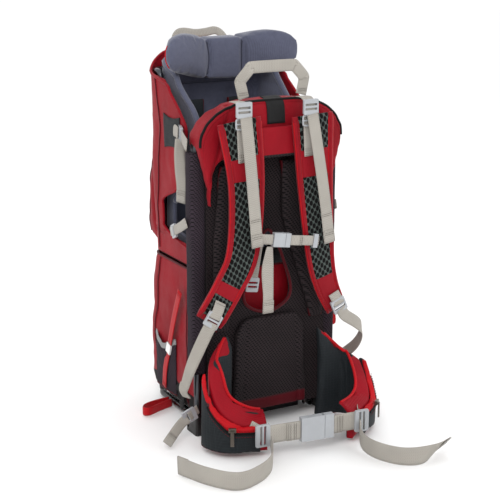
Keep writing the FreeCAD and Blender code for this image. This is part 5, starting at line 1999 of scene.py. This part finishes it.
@dataclass
class WaistStrap:
    """The waist webbing each side of its buckle, and both long loose ends on the floor."""

    strip: Strip = field(default_factory=lambda: Strip(mm(-100, -232, 52), mm(112, -257, 52), 0.52))
    web: float = 0.038

    @staticmethod
    def upright(points: Line, lean: float) -> list[Vector]:
        """Faces for webbing that stands on its edge, leaning a little."""
        return [(UP.cross(way).normalized() + UP * lean).normalized() for way in headings(points)]

    def build(self) -> None:
        """Makes the webbing."""
        out, way, at = self.strip.facing, self.strip.way, self.strip.at
        pack = Strapping("pack", "waist_webbing")
        pack.strap("waist_left", [at(-99), at(-64, -0.5), at(-30.6)], out, self.web)
        pack.strap("waist_left_return", [at(-60, 2.2), at(-45, 2.6), at(-31, 2.2)], out, self.web)
        pack.tacks([at(-57, 2.2), at(-45, 2.6)], way, out, self.web)
        tail = route((-86, -240, 44), (-92, -256, 30), (-112, -288, 21.5), (-152, -318, 20.5),
                     (-206, -330, 20.5), (-246, -284, 20.5), (-275, -212, 21))
        pack.tail("waist_tail_left", tail, [-f for f in self.upright(tail, -0.05)], self.web, Hold.LAID,
                  ["floor"])
        loose = route((111, -262, 44), (101, -272, 34), (93, -300, 22.5), (98, -342, 20.5),
                      (122, -384, 20.5), (158, -402, 21.5), (196, -396, 24), (231, -382, 28))
        faces = self.upright(loose, 0.06)
        faces[-2] = (faces[-2] + UP * 0.5).normalized()
        faces[-1] = (faces[-1] + UP * 0.9).normalized()
        pack.tail("waist_tail_right", loose, [-f for f in faces], self.web, Hold.LAID, ["floor"])
        pack.done("waist_stitches")
        plug = Strapping("waist_plug", "waist_webbing_right")
        plug.strap("waist_right", [at(40.6), at(75, -0.5), at(111)], out, self.web)
        plug.strap("waist_right_return", [at(41, 2.2), at(50, 2.6), at(60, 2.2)], out, self.web)
        plug.tacks([at(56, 2.3), at(49, 2.6)], way, out, self.web)
        plug.done("waist_right_stitches")
        self.mounts()

    def mounts(self) -> None:
        """The webbing between the wings and the waist's ladder locks."""
        slot = Strapping("pack", "waist_webbing")
        slot.strap("waist_inner_left", route((-100, -228, 52), (-106, -216, 54), (-116, -204, 60)),
                   [Vector((-0.3, -1, 0)), Vector((-0.6, -0.8, 0)), Vector((-0.6, -0.8, 0))], 0.036)
        slot.strap("waist_inner_right", route((113, -252, 52), (118, -240, 52), (126, -226, 56)),
                   [Vector((0.2, -1, 0)), Vector((0.6, -0.9, 0)), Vector((0.7, -0.8, 0))], 0.036)


# ---------------------------------------------------------------- straps, handles and stirrup


@dataclass
class PackStraps:
    """The grey straps on the pack: both side straps each side, the stabilisers and the back length strap."""

    web: float = 0.025
    slim: float = 0.020

    def build(self) -> None:
        """Makes the straps."""
        pack = Strapping("pack", "pack_straps")
        for name, sign in SIDES:
            out = Vector((sign, 0, 0))
            ahead = Vector((sign * 0.3, -1, 0))
            pack.strap(f"side_tab_{name}", route((143, 60, 616), (145, 44, 615), (148, 30, 613), side=sign),
                       out, self.web)
            pack.strap(f"side_strap_{name}", route((150, 10, 611), (160, -20, 608), (171, -56, 604),
                                                   side=sign), [out, Vector((sign, -0.15, 0)), Vector((sign,
                                                                                                       -0.3,
                                                                                                       0))],
                       self.web)
            pack.tail(f"side_tail_{name}", route((151, 12, 604), (158, 2, 578), (160, -4, 545),
                                                 (155, 2, 510), (152, 10, 476), side=sign),
                      [ahead, ahead, Vector((sign * 0.7, -1, 0)), Vector((sign, -0.8, 0)),
                       Vector((sign, -0.6, 0))], 0.022, Hold.HUNG, ["pack_locks"])
            pack.strap(f"low_tab_{name}", route((141, 86, 398), (143.5, 74, 402), (147, 62, 405), side=sign),
                       out, self.slim)
            pack.strap(f"low_strap_{name}", route((150, 50, 409), (162, -5, 430), (175, -57, 451),
                                                  side=sign), [out, Vector((sign, -0.15, 0)), Vector((sign,
                                                                                                      -0.3,
                                                                                                      0))],
                       self.slim)
            pack.strap(f"stabiliser_{name}", route((160, -70, 62), (172, -73, 57), (182, -74.5, 51),
                                                   side=sign), FRONT, self.slim)
        pack.tail("stabiliser_tail_left", route((-186, -75.5, 49), (-200, -76, 41), (-224, -88, 27),
                                                (-245, -100, 14)), Vector((-0.3, -1, 0.4)), self.slim,
                  Hold.HUNG, ["pack_locks"])
        pack.strap("stabiliser_tail_right", route((186, -75.5, 49), (200, -77, 41), (214, -81, 29),
                                                  (225, -84, 21)), Vector((0.3, -1, 0.4)), self.slim)
        pack.strap("back_length_strap", route((-22, -75.5, 392), (-29, -77, 357), (-35, -77, 322)), FRONT,
                   self.slim)
        pack.strap("stirrup_hanger", route((171, -34, 342), (180, -22, 341), (192, -3, 336)),
                   Vector((0.8, -0.6, 0)), self.slim)
        pack.done("pack_strap_stitches")


@dataclass
class Handles:
    """The two carrying handles of folded webbing."""

    def build(self) -> None:
        """Makes the handles, each on its own body."""
        front = Strapping("front_handle", "grab_handle_front")
        arch = [(-64, 692), (-69, 710), (-71.5, 722), (-70, 727), (-56, 743), (-51, 748), (-45, 750.5),
                (0, 751), (45, 750.5), (51, 748), (56, 743), (70, 727), (71.5, 722), (69, 710), (64, 692)]
        points = [mm(x, -90.5 - 0.9 * math.sin(k * 1.9), z) for k, (x, z) in enumerate(arch)]
        front.strap("front_handle_web", points, FRONT, 0.0235, 6, thickness=0.0026)
        front.tacks(route((-66, -92.4, 699), (66, -92.4, 699)), UP, FRONT, 0.0235)
        front.done("front_handle_stitches")
        rear = Strapping("rear_handle", "grab_handle_rear")
        lean = Vector((0, 0.407, 0.914))
        out = Vector((0, -0.914, 0.407))
        arc = [(-56, 0), (-58, 18), (-57, 32), (-47, 43), (-32, 45), (-8, 41), (16, 42), (38, 45), (50, 40),
               (58, 28), (59, 14), (57, 0)]
        line = [Vector((x / 1000, 0.2105, 0.752)) + lean * (h / 1000) for x, h in arc]
        rear.strap("rear_handle_web", line, out, 0.0178, 6, thickness=0.0024)
        rear.tacks([line[0] + lean * 0.006 + out * 0.0008, line[-1] + lean * 0.006 + out * 0.0008], lean,
                   out, 0.0178)
        rear.done("rear_handle_stitches")


@dataclass
class StirrupLoop:
    """The foot loop: thick red webbing, hung on a short strap."""

    x: float = 194.0

    def build(self) -> None:
        """Makes the loop and the strap that it hangs on."""
        ring = [(-21, 179), (-8, 170), (12, 166), (32, 170), (45, 179), (38, 216), (28, 252), (20, 272),
                (12, 280), (4, 272), (-5, 252), (-14, 216)]
        points = [mm(self.x, y, z) for y, z in ring]
        middle = mm(self.x, 12, 215)
        outs = [(p - middle).normalized() for p in points]
        loop = Strapping("stirrup", "stirrup_right", "red_webbing", Cloths.red_webbing)
        loop.strap("stirrup_loop_web", points, outs, 0.0155, 5, True, 0.005)
        loop.strap("stirrup_strap", [mm(self.x, 12, 329), mm(self.x + 0.8, 12, 304), mm(self.x, 12, 281)],
                   Vector((1, 0, 0)), 0.0195)


# ---------------------------------------------------------------- studio


@dataclass
class Studio:
    """A pale floor, soft lights and the camera."""

    eye: Vector = field(default_factory=lambda: Vector((-1.2176, -2.1965, 1.0329)))
    target: Vector = field(default_factory=lambda: Vector((0, 0, 0.36)))
    lens: float = 89.9
    sensor: float = 36.0
    white: Colour = (0.95, 0.95, 0.95)

    def build(self) -> None:
        """Makes the floor, the lights and the camera."""
        floor = new_piece("floor", [Vector((x * 9, y * 9, -0.0002)) for x, y in ((-1, -1), (1, -1), (1, 1),
                                                                                 (-1, 1))], [(0, 1, 2, 3)])
        dress(floor, Plain("studio_floor", self.white, 0.9, 0.0001, gloss=0.0))
        world = bpy.data.worlds.new("studio")
        bpy.context.scene.world = world
        world.use_nodes = True
        world.node_tree.nodes["Background"].inputs[0].default_value = (1, 1, 1, 1)
        world.node_tree.nodes["Background"].inputs[1].default_value = 1.06
        self.lamp("key", Vector((-1.6, -2.2, 2.6)), 1.2, 30)
        self.lamp("fill", Vector((2.2, -1.8, 1.6)), 1.8, 9)
        self.lamp("back", Vector((0.4, 2.2, 2.3)), 1.8, 16)
        view = bpy.context.scene.view_settings
        view.view_transform = "Standard"
        view.exposure = 0.0
        data = bpy.data.cameras.new("camera")
        data.lens, data.sensor_width = self.lens, self.sensor
        camera = bpy.data.objects.new("camera", data)
        bpy.context.scene.collection.objects.link(camera)
        camera.location = self.eye
        camera.rotation_euler = (self.target - self.eye).to_track_quat("-Z", "Y").to_euler()
        bpy.context.scene.camera = camera

    def lamp(self, name: str, place: Vector, width: float, watts: float) -> None:
        """A square soft light that looks at the pack."""
        data = bpy.data.lights.new(name, "AREA")
        data.energy, data.size = watts, width
        light = bpy.data.objects.new(name, data)
        bpy.context.scene.collection.objects.link(light)
        light.location = place
        light.rotation_euler = (self.target - place).to_track_quat("-Z", "Y").to_euler()


def main() -> None:
    """Builds every sub-assembly in order and reports each one's pieces."""
    logging.basicConfig(level=logging.INFO, format="%(message)s")
    left_wing = HipWing("left", ((-98, -104), (-130, -106.6), (-155, -111), (-164, -128), (-160, -152),
                                 (-146, -176), (-118, -191), (-90, -200), (-76, -204)), (-0.1194, -0.1470),
                        (190, 282, 0.064))
    right_wing = HipWing("right", ((98, -104), (140, -107), (168, -112), (179, -132), (175, -165),
                                   (160, -196), (130, -219), (100, -237)), (0.1335, -0.1679),
                         (-74, 6, 0.064))
    for part in (Studio(), Metalwork(), StandTrim(), LowerBag(), Cockpit(), Headrest(), BackSystem(),
                 Harness(), SternumStrap(), left_wing, right_wing, WaistStrap(), PackStraps(), Handles(),
                 StirrupLoop()):
        before = len(bpy.data.objects)
        part.build()
        LOG.info("%s: %d pieces", type(part).__name__, len(bpy.data.objects) - before)


if __name__ == "__main__":
    main()
